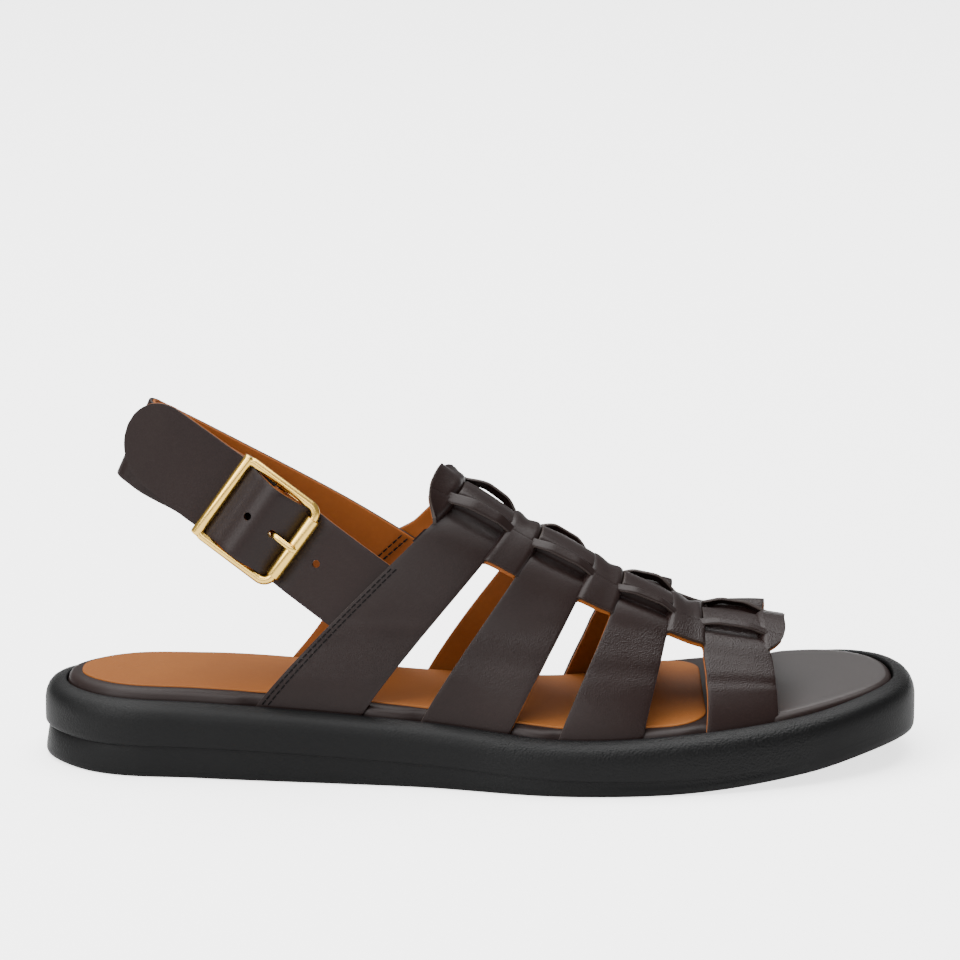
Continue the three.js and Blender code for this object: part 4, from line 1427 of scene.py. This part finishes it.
# %% Roller
ROLLER_OUTER = 2.2
ROLLER_WALL = 0.5
ROLLER_LENGTH = 21.0
ROLLER_SIDES = 48
ROLLER_ROUNDING = 0.18
ROLLER_ANGLE = 40
bpy.ops.object.select_all(action="DESELECT")
bpy.ops.mesh.primitive_cylinder_add(
    vertices=ROLLER_SIDES, radius=ROLLER_OUTER * MM, depth=ROLLER_LENGTH * MM, end_fill_type="NOTHING"
)
roller = bpy.context.object
roller.name = "roller_sleeve"
thicken(roller, ROLLER_WALL, ROLLER_ROUNDING)
upright = Matrix.Rotation(math.radians(90), 4, "X")
roller.data.transform(AXES @ Matrix.Translation(Vector((FRAME_X, 0, BUCKLE["rise"])) * MM) @ upright)
soften(roller, ROLLER_ANGLE)
paint(roller, "buckle_gold")
finish_piece(roller, "buckle_brass", "buckle_roller")

# %% Prong
PRONG_PATH = table(
    "along out width thick",
    [
        (-1.9, 1.2, 2.0, 1.0),
        (-2.1, -0.4, 2.0, 1.0),
        (-1.0, -1.95, 2.0, 1.0),
        (0.8, -2.0, 2.0, 1.0),
        (3.6, -0.6, 1.8, 1.4),
        (5.2, 1.0, 1.8, 1.5),
        (6.2, 2.8, 1.8, 1.6),
        (7.6, 3.75, 1.9, 1.7),
        (10.2, 4.3, 1.9, 1.7),
        (12.2, 4.6, 1.9, 1.6),
        (13.6, 4.6, 1.8, 1.5),
        (14.5, 4.4, 1.4, 1.1),
    ],
)
PRONG_POINTS = [Vector((r["along"], 0, r["out"])) for r in PRONG_PATH]
PRONG_SIZES = [Vector((r["width"], r["thick"], 0)) for r in PRONG_PATH]
PRONG_SQUARES = (20, 120)
PRONG_NUDGE = 0.01
PRONG_END = 0.002
PRONG_FLATNESS = 0.7
SIDEWAYS = Vector((0, 1, 0))


def flattened(value):
    return math.copysign(abs(value) ** PRONG_FLATNESS, value)


def prong_place(u, v):
    here = spline(PRONG_POINTS, v)
    ahead = spline(PRONG_POINTS, min(v + PRONG_NUDGE, 1.0))
    behind = spline(PRONG_POINTS, max(v - PRONG_NUDGE, 0.0))
    up = SIDEWAYS.cross(ahead - behind).normalized()
    size = spline(PRONG_SIZES, v)
    if min(v, 1 - v) < PRONG_END:
        size = Vector()
    turn = 2 * math.pi * u
    wide = SIDEWAYS * flattened(math.cos(turn)) * size.x / 2
    tall = up * flattened(math.sin(turn)) * size.y / 2
    return AXES @ ((here + wide - tall) * MM)


prong = wrapped("prong_finger", *PRONG_SQUARES, prong_place, "buckle_gold")
finish_piece(prong, "buckle_brass", "buckle_prong")

# %% [markdown]
# ## Stitching
# The heel and buckle straps are held by two rows of stitches along the rear edge of the first
# strap, on both sides, and two rows show on the lining at the inner end of the heel strap. One
# stitch is modelled as a short capsule from a sphere, and each copy is laid along the row, half
# sunk in the leather.

# %% Stitch rows
STITCH_PITCH = 2.1
STITCH_LENGTH = 1.8
STITCH_RADIUS = 0.3
STITCH_ROWS = (0.045, 0.1)
STITCH_SINK = 0.05
STITCH_SLANT = 5.3
STITCH_SIDES = 8
STITCH_RINGS = 6
STITCH_SPANS = ((0.012, 0.275), (0.985, 0.74))
INSIDE_ROWS = (9.0, 7.2)
INSIDE_ENDS = (0.94, 0.06)
LINE_STEPS = 400


def stitch_line(u, start, end):
    sheet = strap_sheet(0, WALL - STITCH_SINK)
    points = []
    for k in range(LINE_STEPS + 1):
        v = mix(start, end, k / LINE_STEPS)
        points.append((sheet(u, v), last_normal(u, strap_angle(u, v)[0])))
    return points


def inside_line(at):
    sheet = ribbon_sheet(heel_path, STITCH_SINK)
    length = heel_path[-1]["at"]
    start, end = (sheet(u, (at + STITCH_SLANT * (1 - u)) / length) for u in INSIDE_ENDS)
    normal = row_at(heel_path, at / length)["out"]
    return [(mix(start, end, k / LINE_STEPS), normal) for k in range(LINE_STEPS + 1)]


def stitches(line):
    made = []
    travel = 0.0
    due = 0.0
    for (a, _), (b, normal) in zip(line, line[1:]):
        travel += (b - a).length / MM
        if travel >= due:
            made.append((b, (b - a).normalized(), normal))
            due += STITCH_PITCH
    return made


def stitch_piece(name, places):
    bpy.ops.object.select_all(action="DESELECT")
    bpy.ops.mesh.primitive_uv_sphere_add(
        segments=STITCH_SIDES, ring_count=STITCH_RINGS, radius=STITCH_RADIUS * MM
    )
    first = bpy.context.object
    first.name = name
    for vertex in first.data.vertices:
        vertex.co.x += math.copysign((STITCH_LENGTH / 2 - STITCH_RADIUS) * MM, vertex.co.x)
    copies = []
    for spot, along, normal in places:
        copy = bpy.data.objects.new(name, first.data.copy())
        bpy.context.scene.collection.objects.link(copy)
        side = normal.cross(along).normalized()
        turn = Matrix((along, side, along.cross(side))).transposed().to_4x4()
        copy.data.transform(Matrix.Translation(spot) @ turn)
        copies.append(copy)
    bpy.data.objects.remove(first)
    return join(copies, name)


stitch_places = []
for u in STITCH_ROWS:
    for start, end in STITCH_SPANS:
        stitch_places += stitches(stitch_line(u, start, end))
for at in INSIDE_ROWS:
    stitch_places += stitches(inside_line(at))
seam = stitch_piece("strap_stitches", stitch_places)
soften(seam, ROUND_ANGLE)
paint(seam, "thread")
finish_piece(seam, "brown_leather")

# %% [markdown]
# ## Floor and light
# The photograph has a plain white ground. A large pale floor runs past the picture on all sides and
# glows where the camera looks at it, so it comes out nearly white while the shoe keeps its soft
# shadow. The light is a big soft box above, two weaker ones at the left and in front and bright
# surroundings, so that the dark leather shows broad soft highlights and the gold has something to
# mirror.

# %% Floor
FLOOR_SIZE = 12.0
FLOOR_GLOW = 2.2
FLOOR_TONE = (0.9, 0.9, 0.9, 1)
FLOOR_ROUGHNESS = 0.9
bpy.ops.object.select_all(action="DESELECT")
bpy.ops.mesh.primitive_plane_add(size=FLOOR_SIZE, location=(0, 0, 0))
floor = bpy.context.object
floor.name = "pale_floor"
bpy.ops.object.mode_set(mode="EDIT")
bpy.ops.mesh.subdivide(number_cuts=1)
bpy.ops.object.mode_set(mode="OBJECT")
pale = bpy.data.materials.new("pale_floor")
pale.use_nodes = True
pale_tree = pale.node_tree
pale_surface = pale_tree.nodes["Principled BSDF"]
pale_surface.inputs["Base Color"].default_value = FLOOR_TONE
pale_surface.inputs["Roughness"].default_value = FLOOR_ROUGHNESS
pale_surface.inputs["Emission Color"].default_value = WHITE
seen = node(pale_tree, "ShaderNodeLightPath").outputs["Is Camera Ray"]
glow = maths(pale_tree, "MULTIPLY", seen, FLOOR_GLOW)
pale_tree.links.new(glow, pale_surface.inputs["Emission Strength"])
floor.data.materials.append(pale)

# %% Lights
SOFT_BOXES = table(
    "name place aim size power",
    [
        ("top_box", (-0.2, 0.3, 2.2), (0, 0.2, 0), (3.4, 2.6), 180),
        ("left_box", (-1.6, -1.2, 1.2), (0, 0, 0.05), (1.2, 1.2), 38),
        ("front_box", (-0.5, -2.2, 1.1), (-0.05, 0, 0.05), (1.6, 0.8), 19),
    ],
)
SKY_STRENGTH = 0.35
for box in SOFT_BOXES:
    bpy.ops.object.select_all(action="DESELECT")
    bpy.ops.object.light_add(type="AREA", location=box["place"])
    lamp = bpy.context.object
    lamp.name = box["name"]
    lamp.data.shape = "RECTANGLE"
    lamp.data.size, lamp.data.size_y = box["size"]
    lamp.data.energy = box["power"]
    toward = Vector(box["aim"]) - Vector(box["place"])
    lamp.rotation_euler = toward.to_track_quat("-Z", "Y").to_euler()
world = bpy.context.scene.world or bpy.data.worlds.new("studio")
bpy.context.scene.world = world
world.use_nodes = True
sky = world.node_tree.nodes["Background"]
sky.inputs["Color"].default_value = WHITE
sky.inputs["Strength"].default_value = SKY_STRENGTH
print("soft boxes:", [box["name"] for box in SOFT_BOXES])
